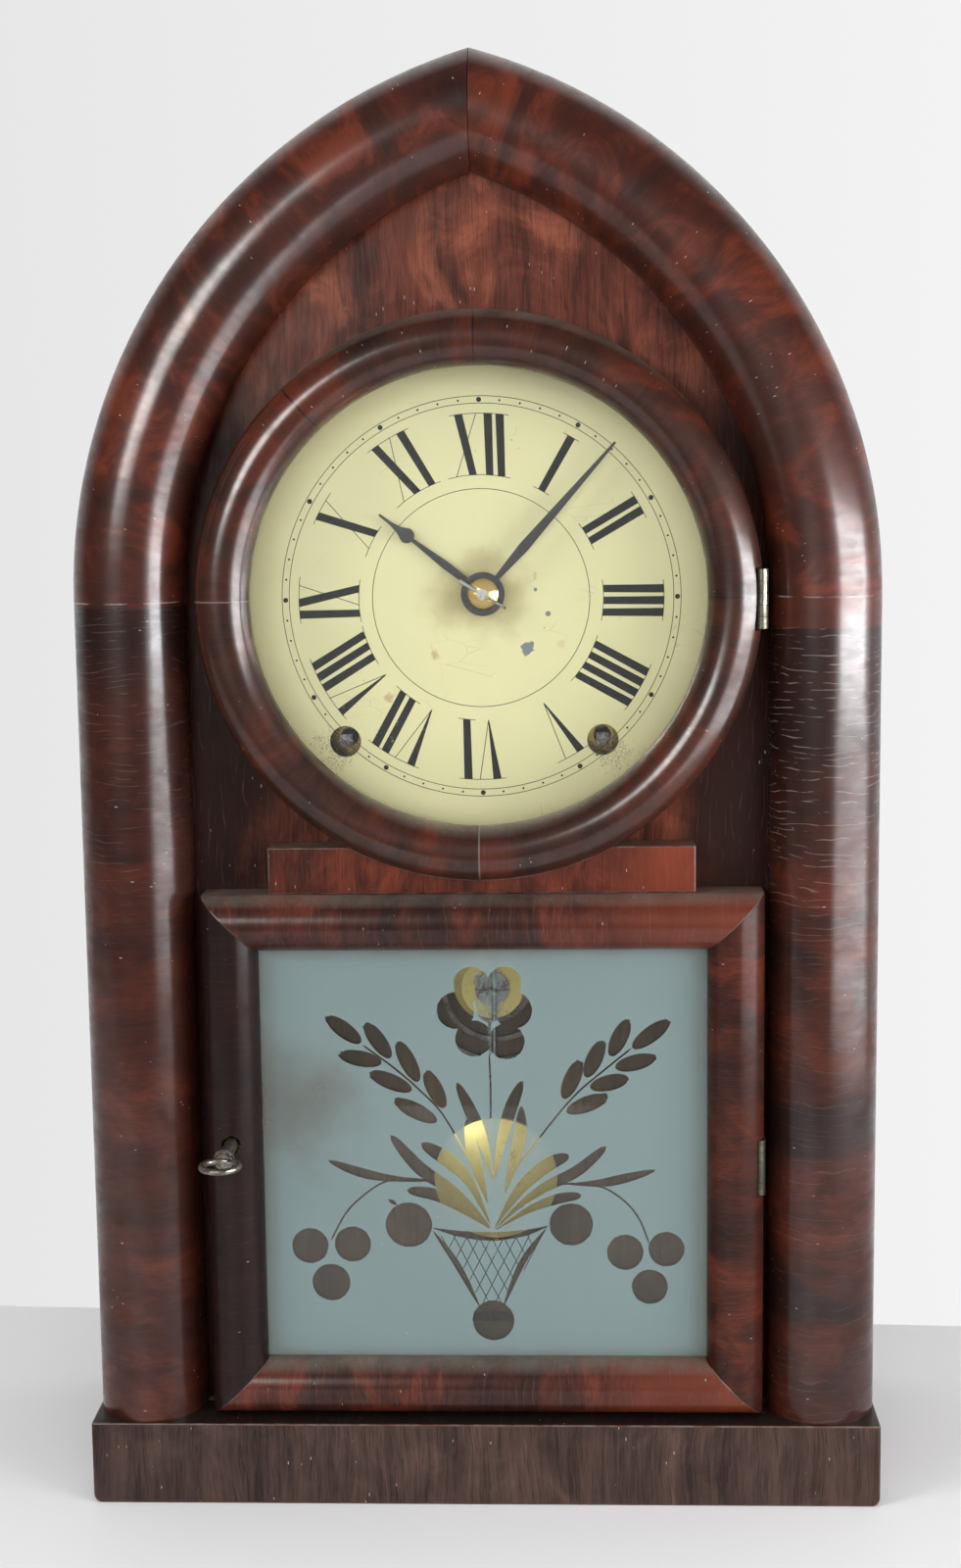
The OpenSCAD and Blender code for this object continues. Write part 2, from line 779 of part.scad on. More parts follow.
module winding_arbor(p) {
    square_side = 4.2;
    difference() {
        union() {
            translate(spot(p, 34)) translate([-square_side / 2, 0, -square_side / 2])
                cube([square_side, front_plate_d - 34 - 0.4, square_side]);
            bar(p, front_plate_d - 0.6, spring_d - 1, winding_r);
            bar(p, spring_d - 1, back_plate_d - 0.4, 4.2);
            bar(p, back_plate_d - 1, plate_back - 0.1, winding_pivot_r);
            slab(ratchet_d, ratchet_d + ratchet_t) translate(p) ratchet_outline(20, 9, 7.4);
        }
    }
}

module great_wheel(p, q) {
    slab(great_d, great_d + great_t)
        difference() {
            translate(p) gear(great_teeth, great_m, great_form, angle_to(p, q));
            translate(p) windows(21.6, 17.6, 6, 3);
            translate(p) circle(r = winding_r + play);
        }
}

// Click and its spring on the back of a great wheel, held just clear of the ratchet
module click(p, turn) {
    face = great_d + great_t;
    slab(face, face + 1.6)
        translate(p) rotate(turn) {
            translate([14.3, 6.6]) circle(r = 2.2);
            polygon([[12.9, 8.3], [16.2, 5.2], [10, -1.9], [9.35, 0.3]]);
        }
    bar(p + 15.75 * [cos(turn + 24.8), sin(turn + 24.8)], face, face + 2.2, 1.2);
    slab(face, face + 1.2)
        translate(p) rotate(turn)
            polygon([[12.2, 9.6], [12.6, 9.9], [5, 15.6], [4, 16.2], [3.2, 15.4], [4.4, 14.9]]);
}

// Ribbon that follows a list of centre points
function ribbon(points, t) =
    let (n = len(points),
         side = [for (i = [0 : n - 1])
            let (v = points[min(i + 1, n - 1)] - points[max(i - 1, 0)]) t / 2 * [-v[1], v[0]] / norm(v)])
    concat([for (i = [0 : n - 1]) points[i] + side[i]], [for (i = [n - 1 : -1 : 0]) points[i] - side[i]]);

// Open mainspring: a spiral whose outer end loops round a pillar of the movement
module mainspring(p, pillar, hand) {
    inner_r = 4.9;
    outer_r = 21.5;
    turns = 11;
    steps = 24;
    loop_r = pillar_r + 0.6;
    out_angle = angle_to(p, pillar) - hand * acos((outer_r - loop_r) / norm(pillar - p));
    spiral = [for (i = [0 : turns * steps])
        let (f = i / (turns * steps), a = out_angle - hand * 360 * turns * (1 - f))
        along(p, a, inner_r + (outer_r - inner_r) * f)];
    loop = [for (i = [0 : 13]) along(pillar, out_angle + hand * i * 20, loop_r)];
    slab(spring_d, spring_d + spring_w) polygon(ribbon(concat(spiral, loop), 0.45));
}

module time_great_wheel() color([0.75, 0.6, 0.28]) great_wheel(time_c, second_c);
module strike_great_wheel() color([0.75, 0.6, 0.28]) great_wheel(strike_c, strike_second_c);
module time_click() color([0.5, 0.5, 0.52]) click(time_c, 200);
module strike_click() color([0.5, 0.5, 0.52]) click(strike_c, 250);
module time_winding_arbor() color([0.45, 0.45, 0.47]) winding_arbor(time_c);
module strike_winding_arbor() color([0.45, 0.45, 0.47]) winding_arbor(strike_c);
module time_mainspring() color([0.3, 0.32, 0.38]) mainspring(time_c, pillars[1], 1);
module strike_mainspring() color([0.3, 0.32, 0.38]) mainspring(strike_c, pillars[0], -1);

// Second arbor of either train: lantern pinion at the great wheel, toothed wheel behind the spring
module second_arbor(p, from, to) {
    arbor(p, second_r, 0.8, 0.8);
    lantern(p, from, second_leaves, great_m, 0.3, great_d - 1.2, great_d + great_t + 1.2);
    bar(p, second_d - 1.2, second_d, 3);
    slab(second_d, second_d + wheel_t)
        difference() {
            translate(p) gear(second_teeth, second_m, second_form, angle_to(p, to));
            translate(p) windows(18.6, 5.4, 4, 3);
        }
}

module second_wheel() color([0.75, 0.6, 0.28]) {
    second_arbor(second_c, time_c, third_c);
    slab(drive_d, drive_d + wheel_t)
        difference() {
            translate(second_c) gear(drive_teeth, drive_m, drive_form, angle_to(second_c, move_c));
            translate(second_c) windows(17.6, 5.4, 4, 3);
        }
}

module strike_second_wheel() color([0.75, 0.6, 0.28]) {
    second_arbor(strike_second_c, strike_c, strike_third_c);
    back = second_d + wheel_t;
    for (i = [0 : 11]) bar(along(strike_second_c, i * 30, 20), back, back + 2.2, 0.6);
}

module third_arbor(p, from, to) {
    arbor(p, third_r, 0.7, 0.7);
    lantern(p, from, small_leaves, second_m, 0.26, second_d - 1.6, second_d + wheel_t + 1.4);
    bar(p, third_d - 1.2, third_d, 2.6);
    slab(third_d, third_d + wheel_t)
        difference() {
            translate(p) gear(third_teeth, third_m, third_form, angle_to(p, to));
            translate(p) windows(13.2, 4.4, 4, 2.4);
        }
}

module third_wheel() color([0.75, 0.6, 0.28]) third_arbor(third_c, second_c, escape_c);

module strike_third_wheel() color([0.75, 0.6, 0.28]) {
    third_arbor(strike_third_c, strike_second_c, fly_c);
    bar(along(strike_third_c, 200, 11), third_d + wheel_t - 0.2, third_d + wheel_t + 3, 0.6);
}

module escape_outline() {
    polygon([for (i = [0 : escape_teeth - 1], s = [[14, 0], [14, 0.12], [11.9, 0.6], [11.9, 0.94]])
        let (a = (i + s[1]) * 360 / escape_teeth) s[0] * [cos(a), sin(a)]]);
}

module escape_wheel() color([0.75, 0.6, 0.28]) {
    arbor(escape_c, small_r, 0.5, 0.5);
    lantern(escape_c, third_c, small_leaves, third_m, 0.22, third_d - 1.4, third_d + wheel_t + 1.4);
    bar(escape_c, escape_d - 1.4, escape_d, 2.2);
    slab(escape_d, escape_d + wheel_t)
        translate(escape_c)
            difference() {
                escape_outline();
                windows(10.2, 3.4, 4, 1.8);
            }
}

// Strip verge over the escape wheel, with the crutch behind the back plate
module verge_and_crutch() color([0.5, 0.5, 0.52]) {
    strip_r = norm(verge_c - escape_c);
    mid = angle_to(escape_c, verge_c);
    span = 46;
    pallet_r = 15.7;
    path = concat([along(escape_c, mid - span, pallet_r), along(escape_c, mid - span, pallet_r + 2.4)],
        [for (i = [-8 : 8]) along(escape_c, mid + i * span / 8.6, strip_r)],
        [along(escape_c, mid + span, pallet_r + 2.4), along(escape_c, mid + span, pallet_r)]);
    crutch_front = plate_back + 0.5;
    crutch_back = crutch_front + 0.9;
    fork_z = move_c[1] - 25;
    arbor(verge_c, 0.9, 0.6, 0.9);
    bar(verge_c, escape_d - 1.5, escape_d + 3, 2.2);
    slab(escape_d - 1, escape_d + 2.2) polygon(ribbon(path, 0.9));
    bar(verge_c, plate_back - 1, crutch_back, 0.9);
    slab(crutch_front, crutch_back) {
        translate(verge_c) circle(r = 2);
        translate([rod_x - 0.6, fork_z]) square([1.2, verge_c[1] - fork_z]);
        translate([rod_x - 2.6, fork_z - 1.2]) square([5.2, 2.4]);
    }
    for (s = [-1, 1]) bar([rod_x + s * 2, fork_z], crutch_front, rod_d + 2, 0.6);
}

// Motion work and hands

module centre_arbor() color([0.45, 0.45, 0.47]) {
    pin_d = 21.5;
    pin_turn = -31;
    difference() {
        union() {
            bar(move_c, 20.4, back_plate_d - 0.4, centre_r);
            bar(move_c, back_plate_d - 1, plate_back - 0.1, 1.2);
            bar(move_c, drive_d - 1.4, drive_d - 0.3, 4);
            bar(move_c, drive_d + wheel_t + 0.3, drive_d + wheel_t + 1.1, 4);
            slab(cannon_d, cannon_d + 1.4)
                translate(move_c) gear(cannon_teeth, cannon_m, cannon_form, angle_to(move_c, minute_c));
        }
        translate(spot(move_c, pin_d)) rotate([0, -pin_turn, 0]) translate([-9, 0, 0]) rotate([0, 90, 0])
            cylinder(h = 18, r1 = 0.8, r2 = 0.4);
    }
    translate(spot(move_c, pin_d)) rotate([0, -pin_turn, 0]) translate([-9, 0, 0]) rotate([0, 90, 0])
        cylinder(h = 18, r1 = 0.8, r2 = 0.4);
}

module centre_wheel() color([0.75, 0.6, 0.28]) {
    slab(drive_d, drive_d + wheel_t)
        difference() {
            translate(move_c)
                gear(centre_teeth, drive_m, drive_form, angle_to(move_c, second_c) + 180 / centre_teeth);
            translate(move_c) windows(13.4, 6, 4, 2.6);
            translate(move_c) circle(r = centre_r + play);
        }
}

module minute_wheel() color([0.75, 0.6, 0.28]) {
    difference() {
        union() {
            slab(cannon_d, cannon_d + 1.4)
                translate(minute_c)
                    gear(minute_teeth, cannon_m, cannon_form,
                        angle_to(minute_c, move_c) + 180 / minute_teeth);
            bar(minute_c, 38.8, 44.6, 2.6);
            bar(minute_c, 34.6, 39, 1.3);
            lantern(minute_c, move_c, hour_leaves, hour_m, 0.32, 34.2, 39);
        }
        bar(minute_c, 39.4, 46, 1.2 + play);
    }
}

module hour_wheel() color([0.75, 0.6, 0.28]) {
    difference() {
        union() {
            slab(hour_d, hour_d + 1.4)
                translate(move_c) gear(hour_teeth, hour_m, hour_form, angle_to(move_c, minute_c));
            bar(move_c, hour_hand_d - 0.6, 38.8, 2.9);
        }
        bar(move_c, 20, 45, centre_r + play);
    }
}

// Flat steel hand: a tapering blade, drawn pointing up from the arbor
module blade(points) {
    polygon(concat(points, [for (i = [len(points) - 1 : -1 : 0]) [-points[i][0], points[i][1]]]));
}

module hour_hand() color([0.06, 0.06, 0.07]) {
    bulb = 0.733 * hour_hand_len;
    difference() {
        slab(hour_hand_d, hour_hand_d + 0.7)
            translate(move_c) rotate(-hour_angle) {
                circle(r = 6.6);
                blade([[1.1, 5], [1.4, 16], [0.6, bulb - 2]]);
                translate([0, bulb]) circle(r = 2.5);
                blade([[2.2, bulb + 1], [1.15, bulb + 3.4], [0.6, bulb + 6.6], [0.35, hour_hand_len]]);
            }
        bar(move_c, 20, 45, 2.9);
    }
}

module minute_hand() color([0.06, 0.06, 0.07]) {
    difference() {
        slab(minute_hand_d, minute_hand_d + 0.7)
            translate(move_c) rotate(-minute_angle) {
                circle(r = 7.3);
                blade([[0.85, 6.4], [1.75, 20.4], [0.42, minute_hand_len]]);
            }
        bar(move_c, 20, 45, 5.3);
    }
}

module hand_collet() color([0.8, 0.66, 0.3]) {
    difference() {
        union() {
            bar(move_c, minute_hand_d, minute_hand_d + 1.6, 5.3);
            intersection() {
                translate(spot(move_c, minute_hand_d + 6)) sphere(r = 8.2, $fn = 64);
                bar(move_c, minute_hand_d - 2.4, minute_hand_d, 5.3);
            }
        }
        bar(move_c, 20, 45, centre_r);
    }
}

// Pendulum

module suspension_spring() color([0.5, 0.52, 0.56]) {
    translate([rod_x - 0.15, front_y + rod_d - 1.3, suspension_z - 20]) cube([0.3, 2.6, 23]);
}

module pendulum_rod() color([0.6, 0.6, 0.6]) {
    top = suspension_z - 20;
    difference() {
        translate([rod_x - 1.2, front_y + rod_d - 1.3, top - 6]) cube([2.4, 2.6, 9]);
        translate([rod_x - 0.15, front_y + rod_d - 2, top]) cube([0.3, 4, 10]);
    }
    translate([rod_x, front_y + rod_d, bob_z - bob_r - 9]) cylinder(h = top - 6 - bob_z + bob_r + 9, r = 1);
}

module pendulum_bob() color([0.75, 0.6, 0.28]) {
    lens_r = 62;
    half_t = 5.6;
    difference() {
        intersection() {
            translate([rod_x, front_y + rod_d + lens_r - half_t, bob_z]) sphere(r = lens_r, $fn = 180);
            translate([rod_x, front_y + rod_d - lens_r + half_t, bob_z]) sphere(r = lens_r, $fn = 180);
            bar([rod_x, bob_z], rod_d - 10, rod_d + 10, bob_r);
        }
        translate([rod_x, front_y + rod_d, bob_z - 2 * bob_r]) cylinder(h = 4 * bob_r, r = 1);
    }
}

module rating_nut() color([0.75, 0.6, 0.28]) {
    translate([rod_x, front_y + rod_d, bob_z - bob_r - 5])
        difference() {
            cylinder(h = 4, r = 4.2);
            translate([0, 0, -1]) cylinder(h = 6, r = 1);
        }
}

// Strike work

module fly() color([0.72, 0.58, 0.26]) {
    arbor(fly_c, small_r, 0.5, 0.5);
    lantern(fly_c, strike_third_c, small_leaves, third_m, 0.22, third_d - 1.4, third_d + wheel_t + 1.4);
    bar(fly_c, 50, 62, 1.4);
    slab(50, 62) translate(fly_c) rotate(35) translate([-10, -0.2]) square([20, 0.4]);
}

// Count wheel: ninety fine teeth and a deeper notch at the end of each hour's blows
module count_wheel() color([0.75, 0.6, 0.28]) {
    rim_r = 18.5;
    root_r = 17.7;
    teeth = 90;
    pitch = 360 / teeth;
    ends = [for (h = [1 : 12]) h * (h + 1) / 2 + h];
    difference() {
        slab(count_d, count_d + wheel_t)
            translate(count_c)
                difference() {
                    polygon([for (i = [0 : teeth - 1],
                            s = [[root_r, 0.05], [rim_r, 0.3], [rim_r, 0.7], [root_r, 0.95]])
                        s[0] * [cos((i + s[1]) * pitch), sin((i + s[1]) * pitch)]]);
                    for (b = ends) rotate(b * pitch) translate([rim_r - 2.8, -0.5]) square([4, 1]);
                    windows(13, 4.6, 4, 2.4);
                }
        bar(count_c, 40, 46, 1.5 + play);
    }
}

// Count lever: a rocking arbor with the count hook in front and the locking arm behind
module count_lever() color([0.5, 0.5, 0.52]) {
    hook_tip = along(count_c, angle_to(count_c, lever_c) - 14, 19.4);
    lock_tip = along(strike_third_c, angle_to(strike_third_c, lever_c), 17.6);
    front = count_d + 0.6;
    lock_d = third_d + 5;
    bar(lever_c, count_d - 0.4, inner_front + 2, 1.2);
    arbor(lever_c, 1.2, 1.2, 0.8);
    bar(lever_c, count_d - 0.4, count_d + 1.6, 2.2);
    wire(spot(lever_c, front), spot(hook_tip, front), 0.6);
    bar(lever_c, lock_d - 1, lock_d + 1, 2.2);
    wire(spot(lever_c, lock_d), spot(lock_tip, lock_d), 0.6);
}

// Hammer: tail beside the second wheel's pins, wire down to the head beside the gong
module hammer() color([0.5, 0.5, 0.52]) {
    tail_d = second_d + wheel_t + 1.4;
    tail_tip = along(strike_second_c, angle_to(strike_second_c, hammer_c), 21.6);
    arm_d = 91.4;
    head_angle = 170;
    head_c = along(gong_c, head_angle, gong_r + 7.4);
    head_near = along(gong_c, head_angle, gong_r + 2.4);
    head_far = along(gong_c, head_angle, gong_r + 12.4);
    arbor(hammer_c, 1.3, 0.9, 1.3);
    bar(hammer_c, plate_back - 1, arm_d + 1.4, 1.3);
    bar(hammer_c, tail_d - 1, tail_d + 1, 2.2);
    wire(spot(hammer_c, tail_d), spot(tail_tip, tail_d), 0.6);
    wire(spot(hammer_c, arm_d), spot(head_c, gong_d + 1.2), 0.8);
    wire(spot(head_near, gong_d + 1.2), spot(head_far, gong_d + 1.2), 3.6);
}

// Gong: a brass foot on the backboard holds one spiral of steel wire by its inner end
module gong_base() color([0.72, 0.58, 0.26]) {
    turned(gong_c)
        polygon([[0, -gong_cup_d], [gong_cup_r, -gong_cup_d], [gong_cup_r, -gong_cup_d - 1.4],
            [gong_neck_r, -gong_d + 0.2], [gong_neck_r, -100], [gong_foot_r, -101.5],
            [gong_foot_r, -backboard_d], [0, -backboard_d]]);
}

module gong_coil() color([0.25, 0.25, 0.28]) {
    turns = 4;
    steps = 36;
    inner_r = 10.4;
    points = [for (i = [0 : turns * steps])
        let (f = i / (turns * steps))
        along(gong_c, 190 + 360 * turns * f, inner_r + (gong_r - inner_r) * f)];
    slab(gong_d, gong_d + gong_wire) polygon(ribbon(points, 1.8));
}

base_rails();
case_floor();
case_sides();
case_arches();
column_mouldings();
arch_mouldings();
front_panel();
backboard();
wood_screws();
movement_battens();
dial_plate();
latch_keeper();
hinge_case_leaves();
door_ring();
door_header_block();
door_rails();
door_stiles();
dial_glass();
tablet_glass();
glazing_beads();
hinge_door_leaves();
latch_bush();
latch_key();
latch_hook();
front_plate();
back_plate();
plate_pillars();
steel_nuts();
suspension_post();
time_great_wheel();
time_click();
time_winding_arbor();
time_mainspring();
second_wheel();
third_wheel();
escape_wheel();
verge_and_crutch();
centre_arbor();
centre_wheel();
minute_wheel();
hour_wheel();
hour_hand();
minute_hand();
hand_collet();
suspension_spring();
pendulum_rod();
pendulum_bob();
rating_nut();
strike_great_wheel();
strike_click();
strike_winding_arbor();
strike_mainspring();
strike_second_wheel();
strike_third_wheel();
fly();
count_wheel();
count_lever();
hammer();
gong_base();
gong_coil();
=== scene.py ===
import math
import random

import bmesh
import bpy
from mathutils import Matrix, Vector
from mathutils.geometry import delaunay_2d_cdt


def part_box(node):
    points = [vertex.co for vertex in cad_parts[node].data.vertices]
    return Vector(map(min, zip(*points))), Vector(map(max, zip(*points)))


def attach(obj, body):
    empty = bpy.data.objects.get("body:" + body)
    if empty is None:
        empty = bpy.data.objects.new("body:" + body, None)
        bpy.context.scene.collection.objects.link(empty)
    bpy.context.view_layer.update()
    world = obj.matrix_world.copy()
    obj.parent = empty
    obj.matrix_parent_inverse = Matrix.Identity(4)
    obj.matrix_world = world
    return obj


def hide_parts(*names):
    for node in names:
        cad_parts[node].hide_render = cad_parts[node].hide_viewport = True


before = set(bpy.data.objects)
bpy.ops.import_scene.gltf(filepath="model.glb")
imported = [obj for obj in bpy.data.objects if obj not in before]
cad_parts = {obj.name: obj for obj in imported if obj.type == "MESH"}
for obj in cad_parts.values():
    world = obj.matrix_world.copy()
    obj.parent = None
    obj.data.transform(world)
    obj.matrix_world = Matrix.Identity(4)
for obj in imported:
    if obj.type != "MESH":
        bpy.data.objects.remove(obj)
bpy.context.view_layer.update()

bl_info = {
    "name": "Beehive clock",
    "version": (1, 0, 0),
    "blender": (4, 5, 0),
    "location": "View3D > Sidebar > Clock",
    "description": "Finishes, dial, glasses, lamps and camera of a pointed shelf clock on its CAD frame",
    "category": "Object",
}

MM = 0.001
DIAL_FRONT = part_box("dial_plate")[0].y
RING_LOW, RING_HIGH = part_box("door_ring")
RING_X = (RING_LOW.x + RING_HIGH.x) / 2
RING_Z = (RING_LOW.z + RING_HIGH.z) / 2
SPRINGING_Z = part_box("column_mouldings")[1].z
ARCH_LOW, ARCH_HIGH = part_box("arch_mouldings")
HALF_WIDTH = (ARCH_HIGH.x - ARCH_LOW.x) / 2
ARCH_RISE = ARCH_HIGH.z - SPRINGING_Z
ARCH_RADIUS = (ARCH_RISE ** 2 + HALF_WIDTH ** 2) / (2 * HALF_WIDTH)
ARCH_CENTRE_X = ARCH_RADIUS - HALF_WIDTH
# Radius at which the bent grain of the ring keeps its true length, and height of the ornament's middle
RING_GRAIN_RADIUS = 0.084
TABLET_Z = 0.119


# Sizes and colours that a user would change

def colour(name, default, description):
    return bpy.props.FloatVectorProperty(
        name=name, description=description, default=default,
        subtype="COLOR", size=3, min=0.0, max=1.0)


def length(name, default, description):
    return bpy.props.FloatProperty(
        name=name, description=description, default=default, subtype="DISTANCE", unit="LENGTH",
        min=0.0, precision=5)


def portion(name, default, description):
    return bpy.props.FloatProperty(
        name=name, description=description, default=default, subtype="FACTOR", min=0.0, max=1.0)


class ClockWood(bpy.types.PropertyGroup):
    dark: colour("Dark grain", (0.0085, 0.0038, 0.0032), "Darkest streaks of the veneer")
    middle: colour("Middle tone", (0.064, 0.0140, 0.0070), "Main tone of the veneer")
    bright: colour("Bright figure", (0.18, 0.034, 0.0140), "Red figure where the light has bleached it")
    panel: colour("Panel tone", (0.21, 0.046, 0.022), "Main tone of the front panel")
    panel_bright: colour("Panel figure", (0.42, 0.115, 0.055), "Bright streaks of the front panel")
    base: colour("Base tone", (0.085, 0.047, 0.037), "Worn brown-grey tone of the base rails")
    worn_edge: colour("Worn edge", (0.10, 0.066, 0.052), "Bare wood on rubbed corners")
    pine: colour("Pine", (0.30, 0.17, 0.085), "Raw pine of the back and the floor")
    edge_width: length("Rubbed corner", 0.0005, "Width of the rubbed corners")
    dust: portion("Dust", 0.55, "Dust on the faces that look up")


class ClockDial(bpy.types.PropertyGroup):
    paint: colour("Paint", (0.80, 0.745, 0.42), "Cream paint of the dial")
    # The rim tone is partly dirt and partly painted shade: the ring's shadow on the edge of the dial.
    rim: colour("Rim tone", (0.57, 0.54, 0.235), "Greener paint near the rim")
    stain: colour("Stain", (0.36, 0.25, 0.085), "Oil stain round the hands")
    ink: colour("Ink", (0.005, 0.0045, 0.0045), "Black of the numerals")
    artwork_x: length("Artwork centre, across", 0.00135, "Centre of the printed circles")
    artwork_z: length("Artwork centre, up", 0.3065, "Centre of the printed circles")
    numeral_outer: length("Numerals, outer", 0.0613, "Radius of the outer ends of the numerals")
    numeral_inner: length("Numerals, inner", 0.0411, "Radius of the inner ends of the numerals")
    hairline: length("Hairline", 0.00022, "Width of the thin printed lines")
    thick_stroke: length("Thick stroke", 0.0028, "Width of the thick strokes")


class ClockMetal(bpy.types.PropertyGroup):
    brass: colour("Brass", (0.52, 0.36, 0.13), "Clean brass")
    brass_tarnish: colour("Brass tarnish", (0.13, 0.105, 0.055), "Tarnished brass")
    steel: colour("Steel", (0.36, 0.35, 0.34), "Old steel")
    rust: colour("Rust", (0.10, 0.042, 0.02), "Rust on the steel")
    black_hand: colour("Blackened steel", (0.013, 0.012, 0.013), "Black of the hands")


class ClockTablet(bpy.types.PropertyGroup):
    frost: colour("Frost", (0.245, 0.325, 0.33), "Frosted ground of the lower glass")
    cut: colour("Cut ornament", (0.11, 0.085, 0.068), "Clear parts of the ornament, with old dirt")


class ClockStage(bpy.types.PropertyGroup):
    floor: colour("Floor", (0.92, 0.92, 0.93), "Pale table top")
    backdrop: colour("Backdrop", (0.86, 0.86, 0.865), "Pale wall behind")
    floor_end: length("Table depth", 0.1308, "Where the table top ends behind the clock")
    lens: bpy.props.FloatProperty(
        name="Lens", description="Focal length of the camera in millimetres", default=50.42, min=1.0)


def settings(name):
    return getattr(bpy.context.scene, "clock_" + name)


def scaled(tone, by):
    return [part * by for part in tone]


# Node work

class Bench:
    """Puts nodes in one tree and joins them."""

    def __init__(self, tree):
        self.tree = tree

    def add(self, kind, inputs=None, **values):
        node = self.tree.nodes.new(kind)
        for key, value in values.items():
            setattr(node, key, value)
        for key, value in (inputs or {}).items():
            self.feed(node.inputs[key], value)
        return node

    def feed(self, socket, value):
        if isinstance(value, bpy.types.NodeSocket):
            self.tree.links.new(value, socket)
        elif socket.type == "RGBA" and len(value) == 3:
            socket.default_value = (*value, 1.0)
        else:
            socket.default_value = value

    def maths(self, operation, *values):
        return self.add("ShaderNodeMath", dict(enumerate(values)), operation=operation).outputs[0]

    def times(self, first, *others):
        for other in others:
            first = self.maths("MULTIPLY", first, other)
        return first

    def plus(self, first, second):
        return self.maths("ADD", first, second)

    def minus(self, first, second):
        return self.maths("SUBTRACT", first, second)

    def larger(self, first, second):
        return self.maths("MAXIMUM", first, second)

    def size(self, value):
        return self.maths("ABSOLUTE", value)

    def weigh(self, value, weight, rest):
        """The value times the weight, plus the rest."""
        return self.maths("MULTIPLY_ADD", value, weight, rest)

    def reach(self, across, up):
        """The distance from the middle."""
        return self.maths("SQRT", self.plus(self.times(across, across), self.times(up, up)))

    def shift(self, vector, by):
        return self.add("ShaderNodeVectorMath", {0: vector, 1: by}, operation="ADD").outputs[0]

    def split(self, vector):
        return self.add("ShaderNodeSeparateXYZ", {0: vector}).outputs

    def join(self, x, y, z):
        return self.add("ShaderNodeCombineXYZ", {0: x, 1: y, 2: z}).outputs[0]

    def fit(self, value, low, high, to_low=0.0, to_high=1.0, soft=False):
        kind = "SMOOTHSTEP" if soft else "LINEAR"
        return self.add("ShaderNodeMapRange", {0: value, 1: low, 2: high, 3: to_low, 4: to_high},
                        interpolation_type=kind).outputs[0]

    def mix(self, amount, first, second):
        """Mixes two colours, which are the node's inputs 6 and 7 and its output 2."""
        return self.add("ShaderNodeMix", {0: amount, 6: first, 7: second}, data_type="RGBA").outputs[2]

    def stain(self, toned, tone, mask, strength):
        return self.mix(self.times(mask, strength), toned, tone)

    def stretched(self, vector, scale):
        """The vector and one scale for a texture. A scale may be one number or one for each axis."""
        if not isinstance(scale, tuple):
            return vector, scale
        return self.add("ShaderNodeMapping", {"Vector": vector, "Scale": scale}).outputs[0], 1.0

    def noise(self, vector, scale, detail=4.0, roughness=0.5, distortion=0.0):
        vector, scale = self.stretched(vector, scale)
        return self.add("ShaderNodeTexNoise", {
            "Vector": vector, "Scale": scale, "Detail": detail, "Roughness": roughness,
            "Distortion": distortion}).outputs[0]

    def cells(self, vector, scale, feature="F1"):
        vector, scale = self.stretched(vector, scale)
        return self.add("ShaderNodeTexVoronoi", {"Vector": vector, "Scale": scale},
                        feature=feature).outputs["Distance"]

    def place(self):
        return self.add("ShaderNodeTexCoord").outputs["Object"]

    def normal(self):
        return self.add("ShaderNodeNewGeometry").outputs["Normal"]

    def effect(self, group, inputs):
        return self.add("ShaderNodeGroup", inputs, node_tree=group).outputs

    def bump(self, height, strength, distance):
        return self.add("ShaderNodeBump", {
            "Height": height, "Strength": strength, "Distance": distance}).outputs[0]

    def surface(self, inputs):
        return self.add("ShaderNodeBsdfPrincipled", inputs).outputs[0]

    def clear_for(self, rays, shader, tint):
        """Lets those kinds of ray straight through, so that what is behind stays lit."""
        path = self.add("ShaderNodeLightPath").outputs
        through = path[rays[0]]
        for ray in rays[1:]:
            through = self.larger(through, path[ray])
        clear = self.add("ShaderNodeBsdfTransparent", {"Color": tint})
        return self.add("ShaderNodeMixShader", {0: through, 1: shader, 2: clear.outputs[0]}).outputs[0]


SOCKETS = {"value": "NodeSocketFloat", "colour": "NodeSocketColor", "vector": "NodeSocketVector"}


def sockets(words):
    """Reads labels and kinds written as "Dark, Bright: colour; Seed: value"."""
    for part in words.split("; "):
        labels, kind = part.split(": ")
        for label in labels.split(", "):
            yield label, SOCKETS[kind]


def shared_effect(name, takes, gives, fill):
    """A shader node group with named inputs and outputs, made once."""
    made = bpy.data.node_groups.get(name)
    if made:
        return made
    made = bpy.data.node_groups.new(name, "ShaderNodeTree")
    for label, kind in sockets(takes):
        made.interface.new_socket(label, in_out="INPUT", socket_type=kind)
    for label, kind in sockets(gives):
        made.interface.new_socket(label, in_out="OUTPUT", socket_type=kind)
    start = made.nodes.new("NodeGroupInput")
    end = made.nodes.new("NodeGroupOutput")
    for label, result in fill(Bench(made), start.outputs).items():
        made.links.new(result, end.inputs[label])
    return made


